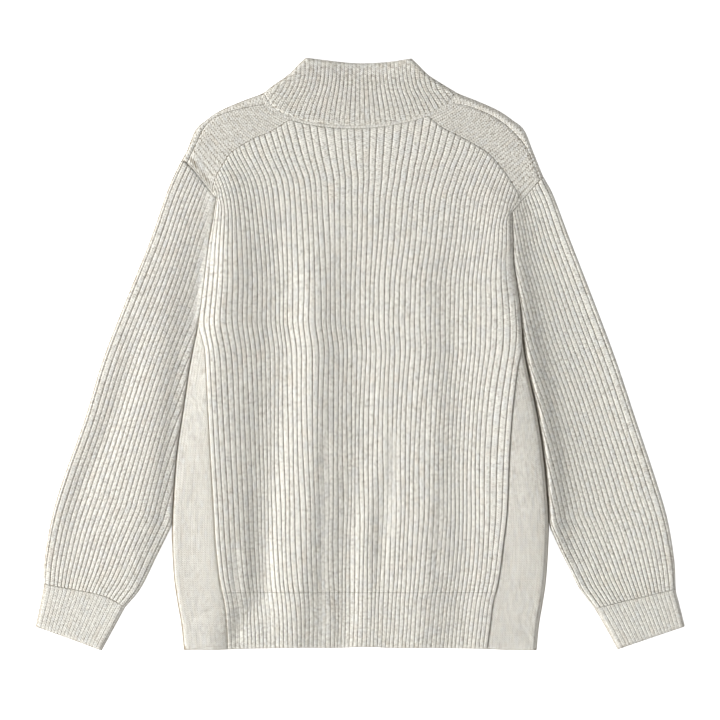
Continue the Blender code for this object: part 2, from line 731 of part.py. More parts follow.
def front_hem(side):
    """Rib band along the bottom of a front, from the zip edge to the side panel."""
    share = np.linspace(0, 1, HEM_COLUMNS + 1)
    rows = []
    for level in (HEM_SIDE, HEM_MID, HEM_TOP):
        seam = side.out_at(side.seam, level)
        out = ZIP_EDGE + (seam - ZIP_EDGE) * share
        up = hem_edge(out) if level == HEM_SIDE else np.full(share.shape, level)
        rows.append(np.stack([out * side.sign, up], -1))
    grid = inset(np.array(rows), east=True, north=True)
    outer, inner = lay(grid, side.body_folds, -1)
    skin = Skin()
    skin.panel(outer, inner, kept(HEM_COLUMNS, 2))
    skin.build(f"front_hem_{side.name}", material(f"front_hem_{side.name}", "knit"))


# ---------------------------------------------------------------- sleeves

SLEEVE_ROWS = np.linspace(0, 1, 14) ** 1.5
PULL_TO_EDGE = 4  # power of the share by which ribs near the free edge follow it


def at_widths(line, fold, count):
    """Points of a line in even steps of their distance from a fold, from its start to its end."""
    width = np.maximum.accumulate(nearest(line, fold)[0])
    steps = np.linspace(width[0], width[-1], count + 1)
    points = np.stack([np.interp(steps, width, line[:, k]) for k in (0, 1)], -1)
    points[0], points[-1] = line[0], line[-1]
    return points, width[-1]


def sleeve_plan(side):
    """Where a sleeve's ribs start, side by side with its outer fold, and the underarm's column."""
    columns = 2 * SLEEVE_RIBS
    hole = side.armhole.copy()
    hole[-1] = side.sleeve_inner[0]
    below = side.sleeve_inner[side.sleeve_inner[:, 1] >= INNER[side.name][0][1]]
    width_at_hole, width_below = (at_widths(line, side.sleeve_fold, 1)[1] for line in (hole, below))
    under = round(columns * width_at_hole / width_below)
    start, _ = at_widths(hole, side.sleeve_fold, under)
    rest, _ = at_widths(below, side.sleeve_fold, columns - under)
    return np.vstack([start, rest[1:]]), under


def sleeve(side):
    """Sleeve as a flattened tube, from the armhole to the cuff."""
    start, under = sleeve_plan(side)
    columns = 2 * SLEEVE_RIBS
    fold = side.sleeve_fold
    begin = np.array([share_at(fold, point) for point in start])
    begin[0] = 0
    share = np.arange(columns + 1) / columns
    end = along(side.cuff_line, share)
    t = SLEEVE_ROWS[:, None]
    beside_fold = along(fold, begin + t * (1 - begin))
    t = t[..., None]
    grid = beside_fold + (start - along(fold, begin)) * (1 - t) + (end - fold[-1]) * t
    free = stretch(side.sleeve_inner, share_at(side.sleeve_inner, start[-1]), 1, SLEEVE_ROWS)
    grid += (free - grid[:, -1])[:, None] * share[:, None] ** PULL_TO_EDGE
    open_edge = inset(grid[:, :under], south=True)
    grid = inset(grid, north=True)
    grid[0, :under] = open_edge[0]
    top_outer, top_inner = lay(grid, side.sleeve_folds, 1, ribs_across(columns + 1, RIB))
    low_outer, low_inner = lay(grid, side.sleeve_folds, -1)
    skin = Skin()
    for first, last, rims in ((0, under, "SN"), (under, columns, "N")):
        part = np.s_[:, first : last + 1]
        keep = kept(last - first, 8 if first == 0 else 4, close_start=first == 0, close_end=first > 0)
        skin.wall(top_outer[part], top_inner[part], keep, rims)
        on_fold = "S" not in rims
        skin.wall(low_outer[part], low_inner[part], keep, rims, plain=True, fine_start=on_fold)
    skin.build(f"sleeve_{side.name}", material(f"sleeve_{side.name}", "knit"))


def cuff(side):
    """Fine rib cuff: a flattened tube, open at both ends."""
    share = np.linspace(0, 1, 2 * CUFF_RIBS + 1)
    few = np.linspace(0, 1, CUFF_ROWS + 1)
    line = along(side.cuff_line, share)
    ends = along(np.array([side.cuff_fold[-1], side.cuff_inner[-1]]), share)
    grid = coons(line, ends, along(side.cuff_fold, few), along(side.cuff_inner, few))
    grid = inset(grid, south=True, by=CUFF_PULL)
    top_outer, top_inner = lay(grid, side.sleeve_folds, 1, ribs_across(share.size, FINE_RIB))
    low_outer, low_inner = lay(grid, side.sleeve_folds, -1)
    skin = Skin()
    keep = kept(share.size - 1, 8, close_start=True, close_end=True)
    skin.wall(top_outer, top_inner, keep, "SN")
    skin.wall(low_outer, low_inner, keep, "SN", plain=True)
    skin.build(f"cuff_{side.name}", material(f"cuff_{side.name}", "knit"))


# ---------------------------------------------------------------- collar


def collar(sides):
    """Funnel neck: one band from the zip, round both folds and across the back."""
    left, right = sides
    few = np.linspace(0, 1, COLLAR_ROWS + 1)
    share = np.linspace(0, 1, 2 * COLLAR_RIBS + 1)
    west, east = along(left.collar_edge, few), along(right.collar_edge, few)
    back = coons(along(left.neck_seam, share), along(smooth(COLLAR_TOP), share), west, east)
    back = inset(back, south=True)
    folds = left.body_folds + right.body_folds
    outers, inners = [], []
    for side, edge in ((left, west), (right, east)):
        top = sided(FRONT_COLLAR_EDGE, side.sign)
        top[0] = edge[-1]
        neck = sided(FRONT_NECK_SEAM, side.sign)
        zip_edge = np.linspace(neck[-1], top[-1], few.size)
        south, north = along(neck, NECK_SHARES), along(top, NECK_SHARES)
        plan = inset(coons(south, north, edge, zip_edge, NECK_SHARES, few), south=True)
        plan[:, 0] = back[:, 0] if side is left else back[:, -1]
        outer, inner = lay(plan, folds, -1)
        outers.append(outer)
        inners.append(inner)
    outer, inner = lay(back, folds, 1, ribs_across(share.size, FINE_RIB))
    outer = np.concatenate([outers[0][:, :0:-1], outer, outers[1][:, 1:]], 1)
    inner = np.concatenate([inners[0][:, :0:-1], inner, inners[1][:, 1:]], 1)
    front = len(NECK_SHARES) - 1
    keep = [*range(front), *(front + column for column in kept(share.size - 1))]
    keep += [front + share.size + column for column in range(front)]
    skin = Skin()
    skin.panel(outer, inner, keep)
    skin.build("collar", material("collar", "knit"))


# ---------------------------------------------------------------- zip


def block(name, row, middle=0.0, bevel=0.0, kind="metal", origin=(0, 0, 0)):
    """A box from a row of sizes, with its object's origin where it is wanted."""
    low = np.array([middle - row.half_width, HINGE[1] + row.start, row.low])
    high = np.array([middle + row.half_width, HINGE[1] + row.end, row.high])
    bpy.ops.mesh.primitive_cube_add(size=1)
    piece = bpy.context.object
    piece.name = piece.data.name = name
    middle, size = (low + high) / 2 - origin, high - low
    for vertex in piece.data.vertices:
        vertex.co = [(middle[k] + vertex.co[k] * size[k]) * MM for k in range(3)]
    piece.location = [value * MM for value in origin]
    for owner in list(piece.users_collection):
        owner.objects.unlink(piece)
    collection().objects.link(piece)
    if bevel:
        rounding = piece.modifiers.new("rounding", "BEVEL")
        rounding.width = bevel * MM
        rounding.segments = 2
    piece.data.materials.append(material(name, kind))
    return piece


def combine(piece, other, operation):
    """Joins or cuts a piece with another, which stays as a hidden helper."""
    step = piece.modifiers.new(f"{operation}_{other.name}", "BOOLEAN")
    step.operation = operation
    step.object = other
    other.hide_render = True
    other.display_type = "WIRE"
    collection().objects.unlink(other)
    helpers().objects.link(other)


def helpers():
    """The collection that holds the cutters."""
    found = bpy.data.collections.get("Cutters")
    if found is None:
        found = bpy.data.collections.new("Cutters")
        bpy.context.scene.collection.children.link(found)
    return found


def zip_fastener():
    """Tapes behind the front edges, the bottom box, and the slider with its pull tab, closed."""
    bottom = ZIP_BOTTOM - HINGE[1]
    top = FRONT_COLLAR_TOP - TAPE_SHORT - HINGE[1]
    tape = Block(TAPE_WIDTH / 2, bottom + BOX_LENGTH + SEAM, top, TAPE_LOW, TAPE_LOW + TAPE)
    for name, sign in SIDES.items():
        block(f"zip_tape_{name}", tape, middle=sign * (TAPE_INNER + TAPE_WIDTH / 2), kind="tape")
    block("zip_box", Block(3.6, bottom, bottom + BOX_LENGTH, 2.2, 5.2), bevel=0.4)
    zip_slider()
    zip_pull_tab()


def zip_slider():
    """Slider: two plates joined by a post between the tapes, and the arch that holds the tab."""
    plate, back, post, arch = (block(name, row) for name, row in SLIDER.items())
    combine(arch, block("slider_gap", ARCH_GAP), "DIFFERENCE")
    for part in (back, post, arch):
        combine(plate, part, "UNION")


def zip_pull_tab():
    """Pull tab: a plate with a slot, whose end bar runs through the slider's arch."""
    tab = block("zip_pull_tab", TAB, origin=HINGE)
    combine(tab, block("tab_slot", TAB_SLOT), "DIFFERENCE")


# ---------------------------------------------------------------- the whole


def main():
    for found in list(bpy.data.objects):
        bpy.data.objects.remove(found)
    sides = Side("left"), Side("right")
    back_panel(sides)
    back_hem(sides)
    collar(sides)
    for side in sides:
        yoke(side)
        side_panel(side)
        front(side)
        front_hem(side)
        sleeve(side)
        cuff(side)
    zip_fastener()


main()
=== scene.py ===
"""Looks of a zip-up cardigan in a thick heathered rib knit, laid flat on its front with its back up.

Every knitted piece is a thin closed shell: a grid of plan points is laid as the upper or the lower
layer round the folded edges, and ribs, seams and soft folds are raised on its outer points. Plan
sizes are in millimetres, and become metres when a mesh is made. +X is right, +Y runs from hem to
collar and +Z points up. "Out" is the distance from the centre line. The stitches themselves are in
the materials, which read a UV map that counts ribs or wales across and stitches along.
"""

from collections import namedtuple

import bpy
import numpy as np
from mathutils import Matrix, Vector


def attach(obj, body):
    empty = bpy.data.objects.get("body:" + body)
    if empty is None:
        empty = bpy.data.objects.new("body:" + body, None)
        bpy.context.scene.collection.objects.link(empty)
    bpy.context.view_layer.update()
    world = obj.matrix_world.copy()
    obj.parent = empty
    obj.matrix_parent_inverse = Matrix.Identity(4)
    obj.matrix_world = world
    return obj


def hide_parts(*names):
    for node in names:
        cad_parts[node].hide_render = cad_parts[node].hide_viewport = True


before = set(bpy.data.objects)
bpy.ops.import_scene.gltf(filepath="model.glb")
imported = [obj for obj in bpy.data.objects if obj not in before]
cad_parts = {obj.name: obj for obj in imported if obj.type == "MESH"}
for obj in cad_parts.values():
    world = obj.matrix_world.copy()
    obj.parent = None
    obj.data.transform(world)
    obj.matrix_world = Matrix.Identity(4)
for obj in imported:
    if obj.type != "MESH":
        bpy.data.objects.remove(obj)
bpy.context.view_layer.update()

MM = 0.001

# ---------------------------------------------------------------- sizes, as in the solids

WALL = 3.0  # inside of a wall to its plain outside
RIB = 1.25  # height of a rib on the back and the sleeves
FINE_RIB = 1.0  # height of a rib on the collar and the hem
CUFF_RIB = 0.5
GROOVE = 0.3  # a groove is this much deeper than the plain outside
FINE_GROOVE = 0.2
STACK = 10.0  # two layers laid on each other
FOLD = STACK / 2  # radius of a folded edge
EASE = 12.0  # plan distance from a fold within which its turn is taken up
FOLD_EASE = 7.0  # and within which a soft fold fades out
RIB_FADE = 3.0  # a rib gains its height within this distance of a fold
TIGHT = 0.12  # a piece stops this far short of its seam
SNUG = 0.02  # and this far where its ribs run on in the next piece
TUCK = 0.1  # between the body's edge and the sleeve beside it
ON_FOLD = 0.03  # a point this near to a fold lies on it
RUN_ON = 20.0  # a fold is carried on this far past an open end

BACK_RIBS = 64
FRONT_RIBS = 32
SLEEVE_RIBS = 24
CUFF_RIBS = 21
WALE = 2.85  # width of a stitch in the plain knit
STITCH = 2.7  # height of a stitch in the ribs
PLAIN_STITCH = 2.7  # height of a stitch in the plain knit
STRIP_STITCH = 4.4  # width of a cross stitch on the shoulder strips

HEM_TOP = -286.0
HEM_MIDDLE = -352.5  # bottom edge at the centre line
HEM_DIP = 3.5  # the bottom edge is this much lower at the sides
HEM_HALF = 212.0
HEM_WAVE = 0.6
HEM_WAVES = (13.5, 70.0)  # its two lengths
HEM_SIDE = HEM_MIDDLE - HEM_DIP
SLEEVE_LEAVES = -205.0  # the sleeves lie against the body down to here
FRONT_NECK = 232.0  # neck seam at the centre front
FRONT_COLLAR_TOP = 310.0
ZIP_EDGE = 4.3  # front edge from the centre line
TOPS_BETWEEN = (120.0, 330.0)  # every column of the back and the fronts ends between these

SIDES = {"left": -1, "right": 1}
DENSE = 2000  # steps in which a line is searched
HALVINGS = 40  # of the heights between which a meeting is searched
PER_SPAN = 8  # points of a smooth line to each row of its table

# Outline from the collar's top corner over the shoulder and down the sleeve: (out, up)
OUTLINE = {
    "left": [
        (66, 356), (75, 347), (87, 335), (104, 323), (118, 313), (139, 305), (167, 293), (185, 281),
        (198, 269), (208, 245), (215, 232), (231, 197), (252, 137), (281, 65), (309, -7), (331, -79),
        (357, -151), (371, -199), (379, -247), (380, -276), (384, -299), (390, -327),
    ],
    "right": [
        (62, 355), (70, 347), (82, 335), (99, 324), (118, 313), (138, 305), (165, 293), (183, 281),
        (197, 269), (207, 245), (220, 213), (232, 190), (252, 137), (280, 65), (307, -7), (331, -79),
        (355, -151), (369, -199), (377, -247), (379, -282), (383, -299), (390, -327),
    ],
}
NECK_ROW, SHOULDER_ROW, CUFF_ROW = 4, 10, 19  # rows of the outline at the seams it crosses

# Armhole seam from the shoulder's tip to the underarm: (out, up)
ARMHOLE = {
    "left": [(215, 232), (209, 229.5), (198, 217.5), (181.5, 197), (174, 188.5), (173, 186)],
    "right": [(220, 213), (217, 210), (200, 190.5), (190, 179), (183.5, 172), (182, 168)],
}

# Side of the body below the underarm: the folded edge, and the seam of the side panel
Flank = namedtuple("Flank", "up edge seam")
FLANK = {
    "left": [
        Flank(186, 173, 171.4), Flank(161, 177, 175.4), Flank(137, 181.5, 179.9),
        Flank(110, 185, 183.4), Flank(65, 190.5, 188.9), Flank(40, 194.5, 192.2),
        Flank(29, 196.5, 191.6), Flank(4, 201.7, 186.8), Flank(-22, 206.5, 185),
        Flank(-67, 213, 182.6), Flank(-122, 221, 179.6), Flank(-186, 225.6, 175.7),
        Flank(-223, 226.4, 173.6), Flank(-269, 224, 168.8), Flank(-298, 220, 162.8),
        Flank(-325, 215.3, 160), Flank(-356, 212, 158.6),
    ],
    "right": [
        Flank(168, 182, 180.4), Flank(137, 183.5, 181.9), Flank(110, 184.5, 182.9),
        Flank(89, 187.5, 185.9), Flank(65, 191, 189.4), Flank(40, 193.5, 191.9),
        Flank(29, 194.5, 192.7), Flank(4, 197.4, 191.8), Flank(-22, 202.2, 188.2),
        Flank(-67, 212, 182.9), Flank(-122, 220.6, 179), Flank(-186, 226.2, 176.5),
        Flank(-223, 226.4, 172.6), Flank(-269, 223.6, 166.6), Flank(-298, 219.6, 160),
        Flank(-325, 215, 156.4), Flank(-356, 212, 152.5),
    ],
}

# Free inner edge of the sleeve, from where it leaves the body to the cuff: (out, up)
INNER = {
    "left": [
        (227, -207), (234.6, -223), (247, -248), (258, -271), (267, -286), (276, -296.5), (282, -303.5),
    ],
    "right": [
        (227.8, -208), (242, -239), (253, -261), (263, -281), (271, -292), (278, -301), (281, -305),
    ],
}
CUFF_INNER = {
    "left": [(282, -303.5), (297, -331), (310.5, -356)],
    "right": [(281, -305), (295, -329), (309, -354.5)],
}
CUFF_LINE = {
    "left": [(380, -276), (312, -289), (282, -303.5)],
    "right": [(379, -282), (326, -294.5), (281, -305)],
}

# Neck seam at the back, left to right: (x, y)
NECK_SEAM = [
    (-118, 313), (-115.5, 307), (-108, 295), (-89, 283.5), (-61, 275.5), (-29, 271.5), (3, 271.3),
    (35, 274.4), (73, 283), (102.5, 295), (115.5, 307), (118, 313),
]
COLLAR_TOP = [(-66, 356), (-30, 351.5), (0, 349.2), (35, 351), (62, 355)]
FRONT_NECK_SEAM = [
    (118, 313), (113, 299), (101, 279), (83, 257), (58, 241), (30, 234), (ZIP_EDGE, FRONT_NECK),
]
FRONT_COLLAR_EDGE = [(64, 355.5), (48, 333), (28, 316), (ZIP_EDGE, FRONT_COLLAR_TOP)]

# Shoulder seam on the back, and the line where the ribs start, from neck to armhole: (out, up)
SHOULDER_SEAM = {
    "left": [
        (112, 301), (130, 297), (156, 290), (175.5, 281.5), (187.5, 269.5), (196, 252.5), (207, 229),
    ],
    "right": [(112, 301), (130, 297), (158, 285.6), (179, 271), (193.7, 255), (204, 236), (215, 208)],
}
RIB_START = {
    "left": [
        (84, 282), (107, 267.6), (127.4, 259.2), (141.8, 250.8), (156.2, 240.6), (164.6, 228),
        (171.8, 215.5), (175.4, 207), (178, 193),
    ],
    "right": [
        (82, 285.5), (98.2, 272.4), (121, 261), (149.8, 244.4), (163, 232), (177.4, 213.6),
        (187.4, 197), (194, 183.5),
    ],
}

# How the ribs of the back spread toward the shoulders: half widths, and the centre's pitch
Spread = namedtuple("Spread", "up left right centre_pitch")
SPREAD = [
    Spread(89, 186, 187, 1.05), Spread(137, 185, 190, 1.11), Spread(185, 183.5, 190, 1.18),
    Spread(209, 187, 196, 1.22), Spread(227, 195, 202.5, 1.26), Spread(245, 202, 209, 1.31),
    Spread(285, 210, 216, 1.42),
]
ROUNDING_STEPS = 9
EVEN_BELOW = 29.0  # the ribs are evenly spaced up to here
EDGE_PULL = 5  # power of the share across by which the outer ribs follow the edge
ROUNDING = 160.0  # a rib rounds the edge's bends over this height times its share from the edge
RIB_WANDER = 0.003  # of the half width: how far the ribs stray from even spacing
WANDERS = [(21, 61, 0), (47, -37, 1.7)]  # of each sine: pace across, height of a radian, start

# Pitch of the collar's ribs at heights: (up, pitch)
COLLAR_PITCH = [(272, 6.35), (290, 5.92), (305, 5.46), (319, 4.98), (334, 4.7), (356, 4.55)]
COLLAR_HALF = 110.0
COLLAR_FAN = 0.05  # how much further apart the ribs lie towards the collar's folds
FAN_POWER = 4  # of the share across by which they do

# ---------------------------------------------------------------- soft folds

# A soft fold runs down the cloth. Each row gives, at a height, where it lies, its widths to the
# left and to the right, and how far it rises as a ridge or sinks as a trough:
# (up, x, left, right, rise)
FOLDS = {
    "left ridge": [
        (235, -166, 12, 16, 0), (195, -160, 14, 22, 2.2), (113, -160, 16, 28, 3.6),
        (0, -173, 15, 36, 4.4), (-127, -175, 26, 36, 4.0), (-240, -170, 34, 32, 4.2),
        (-300, -170, 34, 27, 3.4), (-362, -172, 36, 20, 2.4),
    ],
    "left trough": [
        (205, -101, 22, 26, 0), (120, -101, 24, 24, -1.6), (0, -98, 25, 19, -3.0),
        (-100, -107, 24, 18, -3.6), (-190, -116, 16, 13, -4.6), (-262, -118, 14, 12, -5.0),
        (-300, -126, 15, 16, -3.4), (-335, -150, 14, 14, -2.4), (-362, -155, 14, 14, -1.4),
    ],
    "second ridge": [
        (165, -62, 24, 24, 0), (65, -57, 20, 21, 2.2), (-60, -57, 19, 20, 2.6),
        (-160, -62, 24, 22, 3.0), (-260, -72, 24, 21, 3.4), (-362, -83, 24, 17, 2.6),
    ],
    "middle trough": [
        (165, -5, 24, 26, 0), (65, -3, 26, 26, -1.8), (-100, 0, 26, 22, -2.5),
        (-210, -14, 16, 11, -3.6), (-300, -17, 17, 13, -3.8), (-362, -22, 14, 10, -3.0),
    ],
    "short trough": [
        (-135, 30, 9, 8, 0), (-180, 27, 10, 8, -1.7), (-240, 24, 9, 8, -1.8),
        (-305, 20, 8, 8, 0),
    ],
    "third ridge": [
        (190, 70, 30, 22, 0), (65, 80, 34, 20, 1.5), (-90, 88, 34, 20, 1.7),
        (-220, 77, 28, 22, 2.0), (-362, 70, 26, 20, 1.6),
    ],
    "third trough": [
        (140, 100, 16, 18, 0), (30, 107, 18, 18, -0.6), (-120, 119, 22, 16, -0.8),
        (-225, 128, 26, 14, -1.2), (-362, 120, 22, 14, -1.0),
    ],
    "right ridge": [
        (205, 160, 20, 20, 0), (170, 172, 26, 26, 2.4), (113, 177, 34, 30, 3.6),
        (17, 190, 48, 30, 5.6), (-79, 208, 60, 30, 6.4), (-170, 220, 64, 30, 6.0),
        (-260, 219, 46, 26, 3.6), (-362, 206, 30, 20, 1.8),
    ],
    "right valley": [
        (200, 196, 10, 20, 0), (165, 204, 18, 30, -3.0), (113, 218, 28, 40, -5.0),
        (17, 237, 31, 50, -5.8), (-79, 254, 33, 60, -6.0), (-160, 264, 34, 70, -6.0),
        (-230, 262, 28, 60, -4.5), (-290, 278, 16, 40, 0),
    ],
    "left sleeve ridge": [
        (200, -205, 20, 18, 0), (113, -229, 30, 22, 1.2), (0, -240, 42, 22, 2.4),
        (-127, -247, 56, 22, 2.8), (-230, -256, 60, 18, 2.2), (-290, -290, 40, 20, 0),
    ],
    "left hollow": [
        (170, -176, 14, 8, 0), (113, -185, 28, 10, -2.2), (-31, -209, 24, 10, -3.0),
        (-160, -227, 20, 10, -2.8), (-240, -246, 18, 10, -2.2), (-285, -262, 14, 10, 0),
    ],
    "left sleeve trough": [
        (40, -262, 14, 15, 0), (-31, -281, 12, 16, -1.8), (-100, -306, 14, 18, -2.0),
        (-180, -339, 13, 18, -1.6), (-262, -346, 14, 18, 0),
    ],
    "collar dip": [(362, 0, 42, 42, -3.4), (346, 0, 42, 42, -3.0), (322, 0, 40, 40, 0)],
}
# Shallow folds of the lower layer, which rise from the surface that it lies on
UNDER_FOLDS = {
    "left": [(200, -58, 14, 14, 0), (120, -62, 14, 14, 0.9), (-220, -76, 14, 14, 0)],
    "far left": [(110, -139, 12, 12, 0), (20, -144, 12, 12, 0.7), (-200, -150, 12, 12, 0)],
    "right": [(180, 71, 15, 15, 0), (90, 68, 15, 15, 0.9), (-170, 60, 15, 15, 0)],
    "far right": [(60, 134, 12, 12, 0), (-40, 140, 12, 12, 0.7), (-250, 151, 12, 12, 0)],
    "left sleeve": [(110, -252, 10, 10, 0), (0, -278, 10, 10, 0.8), (-110, -304, 10, 10, 0)],
    "right sleeve": [(80, 256, 10, 10, 0), (-20, 286, 10, 10, 0.8), (-130, 314, 10, 10, 0)],
}
DEEPEST = 3.75  # the upper layer sinks no further, so that its inside stays clear of the lower one

GATHER = 0.05  # share of its distance by which a fold moves a rib, for each mm of its height
GATHER_FREE = 30.0  # within this distance of a piece's side its ribs are held

# Stretches where the ribs are pulled flat or pressed together, so that their grooves fade
Calm = namedtuple("Calm", "x0 y0 x1 y1 width share")
CALM = [
    Calm(-42, -100, -46, -345, 6.5, 0.75),
    Calm(40, -100, 36, -215, 7, 0.65),
    Calm(-150, -235, -146, -345, 6, 0.7),
    Calm(-113, -225, -110, -330, 7, 0.55),
    Calm(-183, 190, -180, 110, 8, 0.7),
    Calm(179, 120, 184, 70, 7, 0.7),
    Calm(97, -170, 92, -260, 6, 0.4),
    Calm(-179, 178, -199, 40, 7, 0.85),
]

# Stretches where body and sleeve press together, so that their folds stay full up to the edge
PRESSED = [Calm(-172, 190, -194, 50, 15, 1.0), Calm(181, 172, 190, 70, 12, 0.7)]
PRESS = 0.75  # share by which the power of the turn's sine falls there

# ---------------------------------------------------------------- plane curves


def smooth(table):
    """Catmull-Rom curve through the rows of a table: a cubic through each pair of rows."""
    rows = np.array(table, float)
    rows = np.vstack([2 * rows[0] - rows[1], rows, 2 * rows[-1] - rows[-2]])
    t = np.linspace(0, 1, PER_SPAN, endpoint=False)[:, None]
    spans = []
    for a, b, c, d in zip(rows, rows[1:], rows[2:], rows[3:]):
        cubic = 2 * b + (c - a) * t + (2 * a - 5 * b + 4 * c - d) * t**2
        spans.append((cubic + (3 * b - a - 3 * c + d) * t**3) / 2)
    return np.vstack(spans + [rows[-2:-1]])


def lengths(line):
    """Length run along a line at each of its points."""
    return np.r_[0, np.cumsum(np.linalg.norm(np.diff(line, axis=0), axis=1))]


def along(line, share):
    """Points at the given shares, 0 to 1, of a line's length."""
    run = lengths(line)
    return np.stack([np.interp(np.asarray(share) * run[-1], run, column) for column in line.T], -1)


def share_at(line, point):
    """Share of a line's length at the place nearest to a point."""
    dense = along(line, np.linspace(0, 1, DENSE + 1))
    return np.linalg.norm(dense - point, axis=1).argmin() / DENSE


def stretch(line, start, end, shares):
    """Points at shares of the stretch of a line between two shares of its length."""
    return along(line, start + (end - start) * np.asarray(shares))


def sided(table, sign):
    """A table of (out, up) rows as a smooth line on one side."""
    return smooth(table) * (sign, 1)


def run_on(line):
    """A line carried straight on past its end."""
    ahead = line[-1] - line[-2]
    return np.vstack([line, line[-1] + ahead / np.linalg.norm(ahead) * RUN_ON])


def normals(line):
    """Unit vectors to the left of a line's way, at each of its points."""
    ahead = np.gradient(line, axis=0)
    ahead /= np.linalg.norm(ahead, axis=1)[:, None]
    return np.stack([-ahead[:, 1], ahead[:, 0]], -1)


def outward(line, distance, sign):
    """A line moved sideways, away from the centre, by a distance."""
    across = normals(line)
    return line + across * distance * np.sign(across[:, :1] * sign)


def patch(across, up, sides, corners):
    """Coons patch: the mean of the two ruled surfaces less that of the corners.

    Sides are points of the south and north lines at the shares across, and of the west and east
    lines at the shares up; corners are south-west, south-east, north-west and north-east.
    """
    u, v = across[..., None], up[..., None]
    south, north, west, east = sides
    low = (1 - u) * corners[0] + u * corners[1]
    high = (1 - u) * corners[2] + u * corners[3]
    return (1 - v) * (south - low) + v * (north - high) + (1 - u) * west + u * east


def coons(south, north, west, east, across, up):
    """Grid between four lines, given as points at the shares across and up."""
    sides = south[None], north[None], west[:, None], east[:, None]
    corners = south[0], south[-1], north[0], north[-1]
    return patch(across[None], up[:, None], sides, corners)


# ---------------------------------------------------------------- laying cloth


def nearest(points, line, most=3000):
    """Distance of each point from a line, the way to the point, and the segment; in batches."""
    flat = points.reshape(-1, 2)
    start, step = line[:-1], np.diff(line, axis=0)
    square = (step**2).sum(-1)
    found = []
    for first in range(0, len(flat), most):
        offset = flat[first : first + most, None] - start
        part = np.clip((offset * step).sum(-1) / square, 0, 1)
        away = offset - part[..., None] * step
        distance = (away**2).sum(-1)
        best = distance.argmin(-1)
        rows = np.arange(len(best))
        found.append((np.sqrt(distance[rows, best]), away[rows, best], best))
    distance, away, segment = (np.concatenate(part) for part in zip(*found))
    shape = points.shape[:-1]
    return distance.reshape(shape), away.reshape(*shape, 2), segment.reshape(shape)


def turn_at(points, folds):
    """How far the cloth has turned at each point, its foot on the fold, the way in and the distance."""
    reach = np.full(points.shape[:-1], np.inf)
    inward = np.zeros(points.shape)
    foot = points.copy()
    for line, inner_side in folds:
        distance, away, segment = nearest(points, line)
        step = np.diff(line, axis=0)
        across = np.stack([-step[:, 1], step[:, 0]], -1) / np.linalg.norm(step, axis=1)[:, None]
        on_fold = (distance < ON_FOLD)[..., None]
        way = np.where(on_fold, across[segment] * inner_side, away)
        way /= np.linalg.norm(way, axis=-1)[..., None]
        closer = distance < reach
        reach = np.where(closer, distance, reach)
        inward = np.where(closer[..., None], way, inward)
        foot = np.where(closer[..., None], points - away, foot)
    reach = np.where(reach < ON_FOLD, 0, reach)
    arc = reach + (np.pi / 2 - 1) * FOLD * np.minimum(reach / EASE, 1)
    return np.minimum(arc / FOLD, np.pi / 2), arc, inward, foot, reach


def bells(points, folds):
    """Each soft fold at the points: the distance across from its line, and its bell's height."""
    up = points[..., 1]
    for rows in folds.values():
        line = smooth(rows)[::-1]
        x, left, right = (np.interp(up, line[:, 0], line[:, k]) for k in (1, 2, 3))
        rise = np.interp(up, line[:, 0], line[:, 4], left=0, right=0)
        away = points[..., 0] - x
        yield away, rise * np.exp(-((away / np.where(away < 0, left, right)) ** 2))


def soft_folds(points, folds):
    """Height of the soft folds together: troughs are held above the deepest by a tanh."""
    height = sum(bell for _, bell in bells(points, folds))
    return np.where(height < 0, DEEPEST * np.tanh(height / DEEPEST), height)


def lay(points, folds, layer, relief=0.0):
    """Outer and inner points of a wall laid as the upper (1) or the lower (-1) layer.

    A point runs in from its foot on the fold by the plan of a quarter turn of radius FOLD, and then
    straight on; it rises or falls by the sine of its turn. The outer point is raised by the relief
    along the turned normal, and the inner one lies a wall's thickness below the plain outside.
    """
    turn, arc, inward, foot, reach = turn_at(points, folds)
    plan = FOLD * (1 - np.cos(turn)) + np.maximum(arc - FOLD * np.pi / 2, 0)
    flat = foot + inward * plan[..., None]
    rise = np.sin(turn)
    if layer > 0:
        rise = rise ** (1 - PRESS * calmed(points, PRESSED))
    height = FOLD + layer * FOLD * rise
    folded = soft_folds(points, FOLDS if layer > 0 else UNDER_FOLDS)
    height = height + folded * fade(reach, FOLD_EASE)
    base = np.concatenate([flat, height[..., None]], -1)
    level = -inward * np.cos(turn)[..., None]
    normal = np.concatenate([level, layer * np.sin(turn)[..., None]], -1)
    raised = np.broadcast_to(relief * np.minimum(reach / RIB_FADE, 1), reach.shape)
    return base + normal * raised[..., None], base - normal * WALL


def calmed(points, table=CALM):
    """How far the grooves are smoothed out: bells across the calm stretches."""
    share = np.zeros(points.shape[:-1])
    for row in table:
        start, end = np.array([row.x0, row.y0]), np.array([row.x1, row.y1])
        step = end - start
        part = np.clip(((points - start) @ step) / (step @ step), 0, 1)
        away = points - start - part[..., None] * step
        share = np.maximum(share, row.share * np.exp(-((away**2).sum(-1)) / row.width**2))
    return share


def gathered(grid):
    """Ribs drawn sideways into the troughs, and apart on the ridges, but not at the grid's sides."""
    from_west, from_east = gaps_along(grid, 1)
    free = fade(np.minimum(from_west, from_east), GATHER_FREE)
    moved = sum(away * bell for away, bell in bells(grid, FOLDS))
    drawn = grid.copy()
    drawn[..., 0] += moved * free * GATHER
    return drawn


# The edges of a grid by their letters: the line of points there, and the next line in
EDGES = {
    "W": (np.s_[:, 0], np.s_[:, 1]),
    "E": (np.s_[:, -1], np.s_[:, -2]),
    "S": (np.s_[0], np.s_[1]),
    "N": (np.s_[-1], np.s_[-2]),
}
LEAST = 1e-6  # keeps a division from zero


